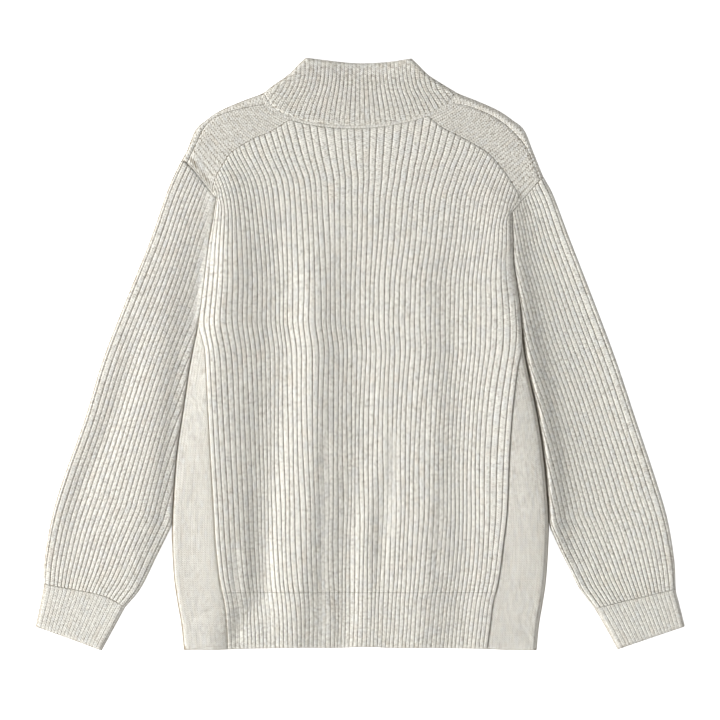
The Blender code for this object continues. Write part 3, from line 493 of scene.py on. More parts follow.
def inset(grid, edges, by=TIGHT):
    """Pulls the named edges of a grid in, one after another, along the grid's own lines."""
    grid = grid.copy()
    for name in edges:
        edge, inside = EDGES[name]
        way = grid[inside] - grid[edge]
        grid[edge] += way / np.maximum(np.linalg.norm(way, axis=-1), LEAST)[..., None] * by
    return grid


# ---------------------------------------------------------------- ribs and edges

# Where the columns of one rib stand, as shares of its width from a groove
RIB_COLUMNS = np.array([0, 0.06, 0.13, 0.26, 0.5, 0.74, 0.87, 0.94])
INSIDE_EVERY = 5  # rows of the outside to one row of the plain inside
FLATNESS = 9.0  # power of the distance from a rib's crest by which its height falls
FULLNESS = 0.8  # power that fills the rib's shoulders out

# How far the outside falls towards an edge, and within which distance
Drop = namedtuple("Drop", "depth width")
LINKED = Drop(0.3, 1.2)  # sides of the back
PLAIN_SEAM = Drop(0.6, 1.4)
GORE_SEAM = Drop(0.4, 1.4)
FRONT_SEAM = Drop(1.0, 1.6)
FRONT_HEM_EDGE = Drop(1.0, 1.5)
DEEP_SEAM = Drop(0.7, 1.6)  # of the sleeve at the armhole, and of the collar
CUFF_SEAM = Drop(0.15, 1.4)
HEM_END = Drop(1.4, 1.5)
GORE_END = Drop(1.2, 1.5)
OPEN_END = Drop(1.3, 1.5)  # of the cuffs and the collar
PLAIN_RISE = 0.4  # of the yokes and the shoulder strips above the plain outside


def rib_columns(count):
    """Positions across a piece in ribs: a whole number is a groove."""
    return np.r_[(np.arange(count)[:, None] + RIB_COLUMNS).ravel(), count]


def rib_relief(across, crest, groove):
    """Height across ribs: a flat-topped ridge, one less a power of the distance from its crest."""
    off = abs(2 * (across % 1) - 1)
    return (crest + groove) * (1 - off**FLATNESS) ** FULLNESS - groove


def pressed_relief(across, crest, groove):
    """Relief of a side that rests flat: its crests are level with the surface."""
    return rib_relief(across, crest, groove) - crest


def crowded(count, ends=0.6):
    """Even shares from 0 to 1 that crowd together towards both ends, by a sine."""
    t = np.linspace(0, 1, count)
    return t - ends * np.sin(2 * np.pi * t) / (2 * np.pi)


def gaps_along(grid, axis):
    """Plan distance of each point from the first and the last line of a grid, along the grid."""
    steps = np.linalg.norm(np.diff(grid, axis=axis), axis=-1)
    run = np.cumsum(steps, axis=axis)
    start = np.zeros_like(np.take(run, [0], axis))
    run = np.concatenate([start, run], axis)
    return run, np.take(run, [-1], axis) - run


def edge_drop(grid, drop, edges):
    """How far the outside falls towards the named edges: a bell across the distance from each."""
    from_south, from_north = gaps_along(grid, 0)
    from_west, from_east = gaps_along(grid, 1)
    distance = {"W": from_west, "E": from_east, "S": from_south, "N": from_north}
    return sum(drop.depth * np.exp(-((distance[name] / drop.width) ** 2)) for name in edges)


def fade(distance, over):
    """Rises smoothly from 0 to 1 over a distance."""
    t = np.clip(distance / over, 0, 1)
    return t * t * (3 - 2 * t)


# ---------------------------------------------------------------- meshes


class Shell:
    """One closed knitted shell, gathered block by block as whole arrays."""

    def __init__(self):
        """Starts with no points or faces."""
        self.points = []
        self.marks = []
        self.faces = []
        self.count = 0

    def add(self, points, marks):
        """Stores points with their stitch counts, and returns their numbers in the grid's shape."""
        numbers = self.count + np.arange(points[..., 0].size).reshape(points.shape[:-1])
        self.points.append(points.reshape(-1, 3))
        self.marks.append(marks.reshape(-1, 3))
        self.count += numbers.size
        return numbers

    def turn_out(self, faces, outside):
        """Adds faces, turned so that together they face the given direction."""
        points = np.concatenate(self.points)
        a, b, c = (points[faces[:, k]] for k in range(3))
        facing = (np.cross(b - a, c - a) * outside).sum()
        self.faces.append(faces if facing > 0 else faces[:, ::-1])

    def cells(self, numbers, outside):
        """Triangles of a grid of points."""
        a, b, c, d = numbers[:-1, :-1], numbers[:-1, 1:], numbers[1:, 1:], numbers[1:, :-1]
        one = np.stack([a, b, c], -1).reshape(-1, 3)
        two = np.stack([a, c, d], -1).reshape(-1, 3)
        outside = outside.reshape(-1, 3)
        self.turn_out(np.concatenate([one, two]), np.concatenate([outside, outside]))

    def strip(self, fine, coarse, outside):
        """Triangles between a line of points and one with every INSIDE_EVERY-th or each of them."""
        every = (len(fine) - 1) // (len(coarse) - 1)
        step = np.arange(len(fine) - 1)
        fan = np.stack([fine[step], fine[step + 1], coarse[step // every]], -1)
        last = np.arange(1, len(coarse)) * every
        closing = np.stack([fine[last], coarse[1:], coarse[:-1]], -1)
        faces = np.concatenate([fan, closing])
        self.turn_out(faces, np.broadcast_to(outside, (len(faces), 3)))

    def wall(self, outer, inner, marks, rims):
        """A block of wall: its outside, its plainer inside and the rims named S, N, W and E."""
        few = np.s_[::INSIDE_EVERY]
        out = self.add(outer, marks)
        ins = self.add(inner[few], marks[few])
        self.cells(out, (outer - inner)[:-1, :-1])
        self.cells(ins, (inner - outer)[few][:-1, :-1])
        self.close(out, ins, outer, rims)

    def close(self, tops, lows, points, rims):
        """Strips along the named rims, between an upper and a lower grid of numbers."""
        for name in rims:
            edge, beyond = EDGES[name]
            self.strip(tops[edge], lows[edge], (points[edge] - points[beyond]).mean(0))

    def build(self, name, material):
        """Joins points that coincide, drops faces that close up, and makes the object."""
        parts = self.points, self.marks, self.faces
        points, marks, faces = (np.concatenate(part) for part in parts)
        _, first, place = np.unique(np.round(points, 3), axis=0, return_index=True, return_inverse=True)
        faces = place.reshape(-1)[faces]
        a, b, c = faces.T
        faces = faces[(a != b) & (b != c) & (a != c)]
        return mesh_object(name, points[first], faces, material, marks[first])


def mesh_object(name, points, faces, material, marks=None):
    """An object from arrays of points in millimetres and faces, with stitch counts as its UV map."""
    mesh = bpy.data.meshes.new(name)
    sides = faces.shape[1]
    mesh.vertices.add(len(points))
    mesh.vertices.foreach_set("co", (points * MM).astype(np.float32).ravel())
    mesh.loops.add(faces.size)
    mesh.loops.foreach_set("vertex_index", faces.astype(np.int32).ravel())
    mesh.polygons.add(len(faces))
    mesh.polygons.foreach_set("loop_start", np.arange(0, faces.size, sides, dtype=np.int32))
    mesh.update(calc_edges=True)
    mesh.shade_smooth()
    if marks is not None:
        layer = mesh.uv_layers.new(name="stitches")
        layer.uv.foreach_set("vector", marks[faces.ravel(), :2].astype(np.float32).ravel())
        calm = mesh.attributes.new("calm", "FLOAT", "POINT")
        calm.data.foreach_set("value", marks[:, 2].astype(np.float32))
    mesh.materials.append(material)
    mesh.validate()
    piece = bpy.data.objects.new(name, mesh)
    bpy.context.scene.collection.objects.link(piece)
    return piece


def marks_of(across, run, calm=0.0):
    """Stitch counts of a grid, across and along, and how far its grooves are smoothed out."""
    return np.stack(np.broadcast_arrays(across, run, calm), -1)


def area_of(grid):
    """Area of a plan grid in square metres."""
    a, b = grid[1:, 1:] - grid[:-1, :-1], grid[1:, :-1] - grid[:-1, 1:]
    return abs(a[..., 0] * b[..., 1] - a[..., 1] * b[..., 0]).sum() / 2 * MM * MM


def cut_size(grid, turns):
    """Width across a grid's columns, times its turns, and length along them, in metres."""
    down = (grid[-1] - grid[0]).mean(0)
    down /= np.linalg.norm(down)
    across = np.array([-down[1], down[0]])
    width, length = (np.ptp(grid @ way) * MM for way in (across, down))
    return width * turns, length


# Each knitted piece: the node that it stands for, its knit and its slot. A pair's names go on
# with its side.
Made = namedtuple("Made", "node knit slot")
PIECES = {
    "back_rib_panel": Made("back_panel", "back", "rib_knit"),
    "back_hem_band": Made("back_hem", "hem", "fine_rib"),
    "funnel_collar": Made("collar", "collar", "fine_rib"),
    "plain_yoke": Made("yoke", "plain", "plain_knit"),
    "plain_gore": Made("side_panel", "gore", "plain_knit"),
    "rib_front": Made("front", "back", "rib_knit"),
    "shoulder_strip": Made(None, "strip", "plain_knit"),
    "front_hem_band": Made("front_hem", "hem", "fine_rib"),
    "rib_sleeve": Made("sleeve", "sleeve", "rib_knit"),
    "rib_cuff": Made("cuff", "cuff", "fine_rib"),
}


def knitted(shell, name, grid, side=None, turns=1, flat=None):
    """Builds a knitted piece in the garment's body and hides its solid; its cut is worked out, unused.

    A piece that goes round a fold, or a tube, is cut as many times as wide as its plan.
    """
    made = PIECES[name]
    end = f"_{side.name}" if side else ""
    piece = shell.build(name + end, MATERIALS[made.knit])
    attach(piece, "garment")
    if made.node:
        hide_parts(made.node + end)
    flat = flat or cut_size(grid, turns)


def one_layer(name, grid, layer, relief, marks, side=None, flat=None):
    """A knitted piece of one layer of cloth, with a rim along each of its edges."""
    folds = side.body_folds if side else BODY_FOLDS
    shell = Shell()
    shell.wall(*lay(grid, folds, layer, relief), marks, "SNWE")
    knitted(shell, name, grid, side, flat=flat)


# ---------------------------------------------------------------- materials


class Graph:
    """Builds a material's nodes from short expressions."""

    def __init__(self, name):
        """Starts a material with its shader alone."""
        self.material = bpy.data.materials.new(name)
        self.material.use_nodes = True
        self.tree = self.material.node_tree
        self.shader = self.tree.nodes["Principled BSDF"]

    def feed(self, sockets, values):
        """Gives sockets their numbers, colours or links to other sockets."""
        for key, value in values:
            if isinstance(value, bpy.types.NodeSocket):
                self.tree.links.new(value, sockets[key])
            else:
                sockets[key].default_value = value

    def node(self, kind, inputs=(), **settings):
        """A node with its settings and inputs."""
        made = self.tree.nodes.new(kind)
        for name, value in settings.items():
            setattr(made, name, value)
        self.feed(made.inputs, dict(inputs).items())
        return made

    def math(self, operation, *values):
        """The result of an operation on numbers or sockets."""
        return self.node("ShaderNodeMath", enumerate(values), operation=operation).outputs[0]

    def vector(self, operation, *values):
        """The result of an operation on vectors."""
        return self.node("ShaderNodeVectorMath", enumerate(values), operation=operation).outputs[0]

    def place(self, x, y):
        """A vector from two numbers."""
        return self.node("ShaderNodeCombineXYZ", {0: x, 1: y}).outputs[0]

    def position(self):
        """Place of a point in its object, in metres."""
        return self.node("ShaderNodeTexCoord").outputs["Object"]

    def blend(self, share, low, high):
        """Colour between two, by a share."""
        mix = self.node("ShaderNodeMix", data_type="RGBA", clamp_factor=True)
        self.feed(mix.inputs, (("Factor", share), (6, low), (7, high)))
        return mix.outputs[2]

    def ramp(self, value, low, high):
        """0 at one value and 1 at another, smoothly."""
        sized = enumerate((value, low, high, 0.0, 1.0))
        return self.node("ShaderNodeMapRange", sized, interpolation_type="SMOOTHSTEP").outputs[0]

    def wave(self, value, turn):
        """A sine from 0 to 1 that comes round once in the given turn of the value."""
        wave = self.math("SINE", self.math("MULTIPLY", value, 2 * np.pi / turn))
        return self.math("MULTIPLY_ADD", wave, 0.5, 0.5)

    def noise(self, vector, scale, detail=2.0, roughness=0.5):
        """Soft noise about the middle of 0 to 1."""
        inputs = {"Vector": vector, "Scale": scale, "Detail": detail, "Roughness": roughness}
        return self.node("ShaderNodeTexNoise", inputs).outputs[0]

    def bump(self, height, strength, distance):
        """Raises the shading by a height, which is a share of a distance in millimetres."""
        inputs = {"Height": height, "Strength": strength, "Distance": distance * MM}
        self.set(Normal=self.node("ShaderNodeBump", inputs).outputs[0])

    def set(self, **values):
        """Sets inputs of the shader; their names have underscores for spaces."""
        named = ((name.replace("_", " "), value) for name, value in values.items())
        self.feed(self.shader.inputs, named)


CREAM = (0.97, 0.95, 0.87, 1)
GREY = (0.79, 0.80, 0.79, 1)
SAND = (0.86, 0.78, 0.67, 1)
# dark brown towards which the painted shade of grooves, strands and edges blends, and also the yarn's darker
# flecks and tone
SHADE = (0.17, 0.125, 0.07, 1)

# Look of each knit: how dark the painted shade in its grooves is, where it starts, how broken up by
# stitches it is, the slant of its strands, how dark the painted shade at the strands' edges is, how
# uneven its yarn is, and how dark it is as a whole
Knit = namedtuple("Knit", "groove start bead slant strand fleck tone")
KNITS = {
    "back": Knit(0.38, 0.62, 0.50, 0.9, 0.40, 2.3, 0.0),
    "sleeve": Knit(0.36, 0.62, 0.50, 0.9, 0.36, 2.2, 0.02),
    "hem": Knit(0.22, 0.62, 0.60, 0.9, 0.36, 2.1, 0.07),
    "collar": Knit(0.80, 0.50, 1.0, 0.9, 0.60, 2.8, 0.0),
    "cuff": Knit(0.22, 0.50, 1.0, 0.9, 0.16, 1.5, 0.13),
    "plain": Knit(0.92, 0.40, 1.0, 0.7, 0.30, 1.8, 0.08),
    "gore": Knit(0.70, 0.40, 1.0, 0.7, 0.45, 1.8, 0.05),
    "strip": Knit(0.40, 0.45, 0.6, 0.8, 0.40, 1.6, 0.06),
    "seam": Knit(0.25, 0.60, 0.5, 0.9, 0.50, 1.6, 0.07),
}
STITCH_DEPTH = 0.5

# Yarn: its colour drifts slowly along a rib, and anew on the next one; a share of grey and sand
RIB_APART = 3.7  # of two ribs in the noise
YARN_RUN = (1, 0.16, 1)
WARM_SCALE = 0.8
FLECK_SCALE = 370.0
DRIFT_RANGE, FLECK_RANGE, WARM_RANGE = (0.42, 0.68), (0.5, 0.8), (0.55, 0.75)
GREY_SHARE, SAND_SHARE = 0.45, 0.35
FLECK_MIDDLE = 0.52

# Grooves: how far they sway, how their own noise runs, and the range that it is spread over
SWAY, SWAY_SCALE = 0.3, 330.0
GROOVE_APART, GROOVE_RUN = 5.3, 0.3
PATCHY = (0.3, 0.7, 0.45, 1.15)

# Painted light and shade of the stitches: the strands' tops lighter and their edges darker, and a painted
# dark line down the middle of each wale's crest
STRAND_LIGHT = 0.75  # part of a strand's wave above which the yarn is lighter than its colour
CREST_WIDTH, CREST_SHADE = 0.22, 0.10  # the fine dark line down the crest of a wale

# Painted shade on edges that turn away, first on the side that the light comes from, so that the
# lit flanks do not glare: the way that the normals are leaned for this, where the painted shade
# begins and ends, and how strong it is
EDGE_LEAN = (-0.45, -0.10, 0)
EDGE_FROM, EDGE_TO = 0.30, 0.6
PAINTED_EDGE_SHADE = 0.55


def heather(graph, rib, run, position):
    """Colour of the blended yarn: cream, turning grey or sandy along its ribs and in flecks."""
    slow = graph.vector("MULTIPLY", graph.place(graph.math("MULTIPLY", rib, RIB_APART), run), YARN_RUN)
    drift = graph.noise(slow, 1.0)
    turn = graph.node("ShaderNodeTexNoise", {"Vector": slow, "Scale": WARM_SCALE}).outputs[1]
    warm = graph.node("ShaderNodeSeparateColor", {0: turn}).outputs[1]
    fleck = graph.noise(position, FLECK_SCALE, detail=3.0, roughness=0.75)
    grey = graph.math("ADD", graph.ramp(drift, *DRIFT_RANGE), graph.ramp(fleck, *FLECK_RANGE))
    colour = graph.blend(graph.math("MULTIPLY", grey, GREY_SHARE), CREAM, GREY)
    sandy = graph.math("MULTIPLY", graph.ramp(warm, *WARM_RANGE), SAND_SHARE)
    return graph.blend(sandy, colour, SAND), fleck


def painted_groove_shade(graph, knit, swayed, off, run):
    """Painted shade in the grooves: beads along each, which darken and fade along its own noise."""
    groove = graph.math("ROUND", swayed)
    beside = graph.math("MULTIPLY", groove, GROOVE_APART)
    place = graph.place(beside, graph.math("MULTIPLY", run, GROOVE_RUN))
    noise = graph.noise(place, 1.0, detail=3.0)
    patchy = graph.node("ShaderNodeMapRange", enumerate((noise, *PATCHY)))
    phase = graph.math("MULTIPLY", groove, np.pi)
    beads = graph.math("SINE", graph.math("MULTIPLY_ADD", run, 2 * np.pi, phase))
    beads = graph.math("MULTIPLY_ADD", beads, 0.5 * knit.bead, 1 - 0.5 * knit.bead)
    dark = graph.math("MULTIPLY", graph.ramp(off, knit.start, 1.0), beads)
    return graph.math("MULTIPLY", dark, patchy.outputs[0])


def painted_edge_shade(graph):
    """Painted edge shade: how far the cloth turns away from the view, normals leaned to one side."""
    normal = graph.node("ShaderNodeNewGeometry").outputs["Normal"]
    leaned = graph.vector("NORMALIZE", graph.vector("ADD", normal, EDGE_LEAN))
    facing = graph.node("ShaderNodeLayerWeight", {"Blend": 0.5, "Normal": leaned}).outputs["Facing"]
    return graph.ramp(facing, EDGE_FROM, EDGE_TO)


def knit_material(name, knit):
    """Knitted yarn: chevrons of slanted strands along each wale, with broken painted groove shade between.

    Across is a whole number at a groove; off is 0 at a wale's crest and 1 at its grooves. The
    strands are a sine of the stitch count less a slant with off, so that they form chevrons. The
    grooves sway a little.
    """
    graph = Graph(name)
    position = graph.position()
    counts = graph.node("ShaderNodeUVMap", uv_map="stitches").outputs[0]
    across, run, _ = graph.node("ShaderNodeSeparateXYZ", {0: counts}).outputs
    calm = graph.node("ShaderNodeAttribute", attribute_name="calm").outputs["Fac"]
    sway = graph.math("MULTIPLY_ADD", graph.noise(position, SWAY_SCALE), SWAY, -SWAY / 2)
    swayed = graph.math("ADD", across, sway)
    off = graph.math("MULTIPLY_ADD", graph.math("FRACT", swayed), 2.0, -1.0)
    off = graph.math("ABSOLUTE", off)
    strand = graph.wave(graph.math("MULTIPLY_ADD", off, -knit.slant, run), 1)

    colour, fleck = heather(graph, graph.math("FLOOR", swayed), run, position)
    # painted shade in the recessed grooves, less where the ribs are pulled flat
    dark = painted_groove_shade(graph, knit, swayed, off, run)
    dark = graph.math("MULTIPLY", dark, graph.math("SUBTRACT", 1.0, calm))
    # painted light and shade along the strands, and a painted dark line down each crest
    between = graph.math("MULTIPLY", graph.math("SUBTRACT", STRAND_LIGHT, strand), knit.strand)
    crest = graph.math("MULTIPLY", graph.ramp(off, CREST_WIDTH, 0.0), CREST_SHADE)
    total = graph.math("MULTIPLY_ADD", dark, knit.groove, graph.math("ADD", between, crest))
    uneven = graph.math("MULTIPLY_ADD", fleck, -knit.fleck, FLECK_MIDDLE * knit.fleck + knit.tone)
    total = graph.math("ADD", total, uneven)
    # painted shade on the edges that turn away, strongest on the side the light comes from
    total = graph.math("MULTIPLY_ADD", painted_edge_shade(graph), PAINTED_EDGE_SHADE, total)
    graph.set(Base_Color=graph.blend(total, colour, SHADE), Roughness=0.92)
    graph.set(Sheen_Weight=0.06, Sheen_Roughness=0.6, Specular_IOR_Level=0.15)
    height = graph.math("MULTIPLY_ADD", strand, 0.5, fleck)
    graph.bump(height, strength=0.8, distance=STITCH_DEPTH)
    return graph.material


WARP, WEFT = 0.7, 0.9  # turns of the tape's weave
WEAVE_DEPTH = 0.15
TAPE_DARK, TAPE_LIGHT = (0.42, 0.40, 0.36, 1), (0.62, 0.60, 0.54, 1)
SCRATCH_SCALE, WEAR_SCALE = 4000.0, 350.0
NICKEL_DARK, NICKEL_LIGHT = (0.50, 0.50, 0.50, 1), (0.68, 0.67, 0.65, 1)


def tape_material():
    """Woven zip tape: crossed fine waves of warp and weft."""
    graph = Graph("zip_tape_weave")
    x, y, _ = graph.node("ShaderNodeSeparateXYZ", {0: graph.position()}).outputs
    warp = graph.math("SINE", graph.math("MULTIPLY", x, 2 * np.pi / (WARP * MM)))
    weft = graph.math("SINE", graph.math("MULTIPLY", y, 2 * np.pi / (WEFT * MM)))
    weave = graph.math("MULTIPLY_ADD", graph.math("MULTIPLY", warp, weft), 0.5, 0.5)
    graph.set(Base_Color=graph.blend(weave, TAPE_DARK, TAPE_LIGHT), Roughness=0.85, Sheen_Weight=0.1)
    graph.bump(weave, strength=0.5, distance=WEAVE_DEPTH)
    return graph.material


def metal_material():
    """Satin nickel with fine scratches."""
    graph = Graph("zip_nickel")
    scratch = graph.noise(graph.position(), SCRATCH_SCALE, detail=4.0, roughness=0.7)
    wear = graph.noise(graph.position(), WEAR_SCALE)
    graph.set(Base_Color=graph.blend(wear, NICKEL_DARK, NICKEL_LIGHT))
    graph.set(Metallic=1.0, Roughness=graph.math("MULTIPLY_ADD", scratch, 0.25, 0.22))
    return graph.material


MATERIALS = {kind: knit_material(kind, knit) for kind, knit in KNITS.items()}

# ---------------------------------------------------------------- shared lines


class Side:
    """The lines of one side of the cardigan, in plan."""

    def __init__(self, name):
        """Draws every line of the side from its tables."""
        self.name = name
        self.sign = SIDES[name]
        self.outline = sided(OUTLINE[name], self.sign)
        neck, shoulder, cuff = (PER_SPAN * row for row in (NECK_ROW, SHOULDER_ROW, CUFF_ROW))
        self.collar_edge = self.outline[neck::-1]
        self.shoulder = self.outline[neck : shoulder + 1]
        self.sleeve_fold = self.outline[shoulder : cuff + 1]
        self.cuff_fold = self.outline[cuff:]
        self.outline = run_on(self.outline)
        self.armhole = sided(ARMHOLE[name], self.sign)
        self.edge = sided([(row.edge, row.up) for row in FLANK[name]], self.sign)
        self.seam = sided([(row.seam, row.up) for row in FLANK[name]], self.sign)
        self.underarm = FLANK[name][0].up
        self.neck_seam = smooth(NECK_SEAM)[:: self.sign * -1]
        self.shoulder_seam, self.shoulder_shares = self.fitted(SHOULDER_SEAM)
        self.rib_start, self.rib_shares = self.fitted(RIB_START)
        beside = outward(self.edge[self.edge[:, 1] > SLEEVE_LEAVES], TUCK, self.sign)
        self.sleeve_inner = np.vstack([beside, sided(INNER[name], self.sign)])
        self.cuff_inner = sided(CUFF_INNER[name], self.sign)
        self.cuff_line = sided(CUFF_LINE[name], self.sign)
        self.body_folds = [(self.outline, -self.sign), (run_on(self.edge), -self.sign)]
        inner = run_on(np.vstack([self.sleeve_inner, self.cuff_inner[1:]]))
        self.sleeve_folds = [(self.outline, -self.sign), (inner, self.sign)]

    def fitted(self, table):
        """A line from the neck seam to the armhole, with its ends on both, and their shares."""
        line = sided(table[self.name], self.sign)
        shares = share_at(self.neck_seam, line[0]), share_at(self.armhole, line[-1])
        line[0] = along(self.neck_seam, [shares[0]])[0]
        line[-1] = along(self.armhole, [shares[1]])[0]
        return line, shares

    def out_at(self, line, up):
        """How far out a line lies at the given heights."""
        order = np.argsort(line[:, 1])
        return np.interp(up, line[order, 1], abs(line[order, 0]))


def first_meeting(path, limit, columns):
    """Height at which the path of each column meets a line that runs across, by halving."""
    low, high = (np.full(columns, height) for height in TOPS_BETWEEN)
    for _ in range(HALVINGS):
        middle = (low + high) / 2
        inside = middle < np.interp(path(middle), limit[:, 0], limit[:, 1])
        low = np.where(inside, middle, low)
        high = np.where(inside, high, middle)
    return (low + high) / 2


LEFT, RIGHT = Side("left"), Side("right")
BODY_FOLDS = LEFT.body_folds + RIGHT.body_folds

# ---------------------------------------------------------------- back


def back_side(side, up):
    """Side of the ribs of the back: the side panel's seam, the armhole, then the spread."""
    low = side.seam[::-1]
    hole = side.armhole[::-1]
    hole = hole[(hole[:, 1] > side.underarm) & (hole[:, 1] < side.rib_start[-1, 1])]
    above = [row for row in SPREAD if row.up > ARMHOLE[side.name][0][1]]
    spread_out = [getattr(row, side.name) for row in above]
    heights = np.r_[low[:, 1], hole[:, 1], side.rib_start[-1, 1], [row.up for row in above]]
    outs = abs(np.r_[low[:, 0], hole[:, 0], side.rib_start[-1, 0], spread_out])
    return np.interp(up, heights, outs)


def inner_side(side, up):
    """Side that the inner ribs follow: the side panel's seam, then smoothly up past the armhole."""
    low = [(row.up, row.seam) for row in FLANK[side.name][::-1] if row.up < SPREAD[0].up]
    line = smooth(low + [(row.up, getattr(row, side.name)) for row in SPREAD])
    return np.interp(up, line[:, 0], line[:, 1])


def rounded_side(side, across, up):
    """The back's side as a rib follows it: the mean over a height that grows with its distance."""
    reach = ROUNDING * (1 - abs(across))
    steps = np.linspace(-1, 1, ROUNDING_STEPS)
    return sum(back_side(side, up + reach * step) for step in steps) / len(steps)


def back_path(across, up):
    """Where a rib of the back runs.

    Ribs are even low down and wider at the centre near the neck. The inner ones follow the smooth
    side, and the outer ones are drawn to the piece's edge by a power of their share across. All
    stray a little, by sines of their place.
    """
    pitch = smooth([(EVEN_BELOW, 1)] + [(row.up, row.centre_pitch) for row in SPREAD])
    centre = np.interp(up, pitch[:, 0], pitch[:, 1])
    spread = across * centre + across**3 * (1 - centre)
    stray = sum(np.sin(across * pace + up / tall + start) for pace, tall, start in WANDERS)
    spread = spread + stray * RIB_WANDER * (1 - across**2)
    left, right = (inner_side(side, up) for side in (LEFT, RIGHT))
    inner = (right - left) / 2 + (right + left) / 2 * spread
    left, right = (rounded_side(side, across, up) - inner_side(side, up) for side in (LEFT, RIGHT))
    return inner + np.where(across < 0, left, right) * across**EDGE_PULL


BACK_ROWS = 151
HEM_ROWS = 21
NECK_POINTS = 40
STRAIGHT_TOP = 40.0  # the gathering of the ribs fades out over this distance from their top
TOP_START, TOP_GAIN = 1.5, 4.0  # the ribs' height at their top, and where it is full
# the painted groove shade is darker where the ribs start at their top
TOP_DARK, TOP_SHADE = 0.8, 3.5  # how much darker their grooves start, and over which distance
HEM_GAIN = 6.0  # the ribs turn finer over this distance into the hem


def back_panel():
    """Ribbed back, from the top of the hem to the neck seam and the yokes."""
    ribs = rib_columns(BACK_RIBS)
    across = ribs / BACK_RIBS * 2 - 1
    shares = np.linspace(0, 1, NECK_POINTS)
    neck = stretch(LEFT.neck_seam, LEFT.rib_shares[0], 1 - RIGHT.rib_shares[0], shares)
    limit = np.vstack([LEFT.rib_start[::-1], neck[1:-1], RIGHT.rib_start])
    top = first_meeting(lambda up: back_path(across, up), limit, across.size)
    up = HEM_TOP + (top - HEM_TOP) * crowded(BACK_ROWS)[:, None]
    plan = np.stack([back_path(across, up), up], -1)
    _, below_top = gaps_along(plan, 0)
    plan = plan + (gathered(plan) - plan) * fade(below_top, STRAIGHT_TOP)[..., None]
    grid = inset(inset(plan, "WEN"), "S", SNUG)
    calm = calmed(grid)
    relief = rib_relief(ribs, RIB, GROOVE) * fade(below_top + TOP_START, TOP_GAIN)
    relief = relief * (1 - calm) - edge_drop(grid, LINKED, "WE")
    marks = marks_of(ribs, up / STITCH, calm - TOP_DARK * (1 - fade(below_top, TOP_SHADE)))
    one_layer("back_rib_panel", grid, 1, relief, marks)


def hem_edge(x):
    """Height of the bottom edge: a little lower at the sides, with a slight wave."""
    short, long = HEM_WAVES
    wave = HEM_WAVE * np.sin(x / short + 1) * np.cos(x / long)
    return HEM_MIDDLE - HEM_DIP * (x / HEM_HALF) ** 2 + wave


def hem_band(path, ribs):
    """Plan of a hem band whose columns follow a path, from the bottom edge to the hem's top."""
    level = HEM_SIDE + (HEM_TOP - HEM_SIDE) * crowded(HEM_ROWS)[:, None]
    x = path(np.broadcast_to(level, (HEM_ROWS, ribs.size)))
    bottom = hem_edge(x)
    up = bottom + (HEM_TOP - bottom) * crowded(HEM_ROWS)[:, None]
    return np.stack([x, up], -1)


def back_hem():
    """Finer rib band along the bottom of the back, between the side panels."""
    ribs = rib_columns(BACK_RIBS)
    grid = gathered(hem_band(lambda up: back_path(ribs / BACK_RIBS * 2 - 1, up), ribs))
    grid = inset(inset(grid, "WE"), "N", SNUG)
    calm = calmed(grid)
    _, below_top = gaps_along(grid, 0)
    fine = fade(below_top, HEM_GAIN)
    relief = rib_relief(ribs, RIB + (FINE_RIB - RIB) * fine, GROOVE + (FINE_GROOVE - GROOVE) * fine)
    relief = relief * (1 - calm) - edge_drop(grid, LINKED, "WE") - edge_drop(grid, HEM_END, "S")
    one_layer("back_hem_band", grid, 1, relief, marks_of(ribs, grid[..., 1] / STITCH, calm))


YOKE_COLUMNS, YOKE_ROWS = 81, 31


def yoke(side):
    """Plain-knit shoulder piece between the ribs of the back and the shoulder seam."""
    shares, few = np.linspace(0, 1, YOKE_COLUMNS), crowded(YOKE_ROWS, ends=0.4)
    south = along(side.rib_start, shares)
    north = along(side.shoulder_seam, shares)
    west = stretch(side.neck_seam, side.rib_shares[0], side.shoulder_shares[0], few)
    east = stretch(side.armhole, side.rib_shares[1], side.shoulder_shares[1], few)
    grid = coons(south, north, west, east, shares, few)
    grid = inset(inset(grid, "WEN"), "S", SNUG)
    run, _ = gaps_along(grid, 0)
    marks = marks_of(abs(south[:, 0]) / WALE, run / PLAIN_STITCH)
    one_layer("plain_yoke", grid, 1, PLAIN_RISE - edge_drop(grid, PLAIN_SEAM, "WEN"), marks, side)


# ---------------------------------------------------------------- side panels


GORE_ROWS, GORE_COLUMNS = 181, 31
GORE_CROWD = 150.0  # width that adds one to the power by which its columns crowd to the fold
GORE_LEAST, GORE_FULL = 2.0, 12.0  # its seam sinks in from the one width, fully past the other


def side_panel(side):
    """Plain-knit gore round the folded side of the body, from the back's seam to the front's."""
    up = HEM_SIDE + (side.underarm - HEM_SIDE) * crowded(GORE_ROWS, ends=0.3)[:, None]
    edge = side.out_at(side.edge, up)
    seam = side.out_at(side.seam, up)
    steps = (1 - np.linspace(0, 1, GORE_COLUMNS)) ** (1 + (edge - seam) / GORE_CROWD)
    out = edge + (seam - edge) * steps
    x = out * side.sign
    grid = np.stack([x, up + (hem_edge(x) - HEM_SIDE) * (up < HEM_TOP)], -1)
    grid[:, -1, 0] = side.out_at(side.edge, grid[:, -1, 1]) * side.sign
    grid = inset(grid, "WN")
    relief = -edge_drop(grid, GORE_SEAM, "W") * fade(edge - seam - GORE_LEAST, GORE_FULL)
    relief = relief - edge_drop(grid, GORE_END, "S")
    shell = Shell()
    for layer in (1, -1):
        marks = marks_of(layer * (edge - out) / WALE, grid[..., 1] / PLAIN_STITCH)
        shell.wall(*lay(grid, side.body_folds, layer, relief), marks, "SNW")
    knitted(shell, "plain_gore", grid, side, turns=2)


# ---------------------------------------------------------------- fronts


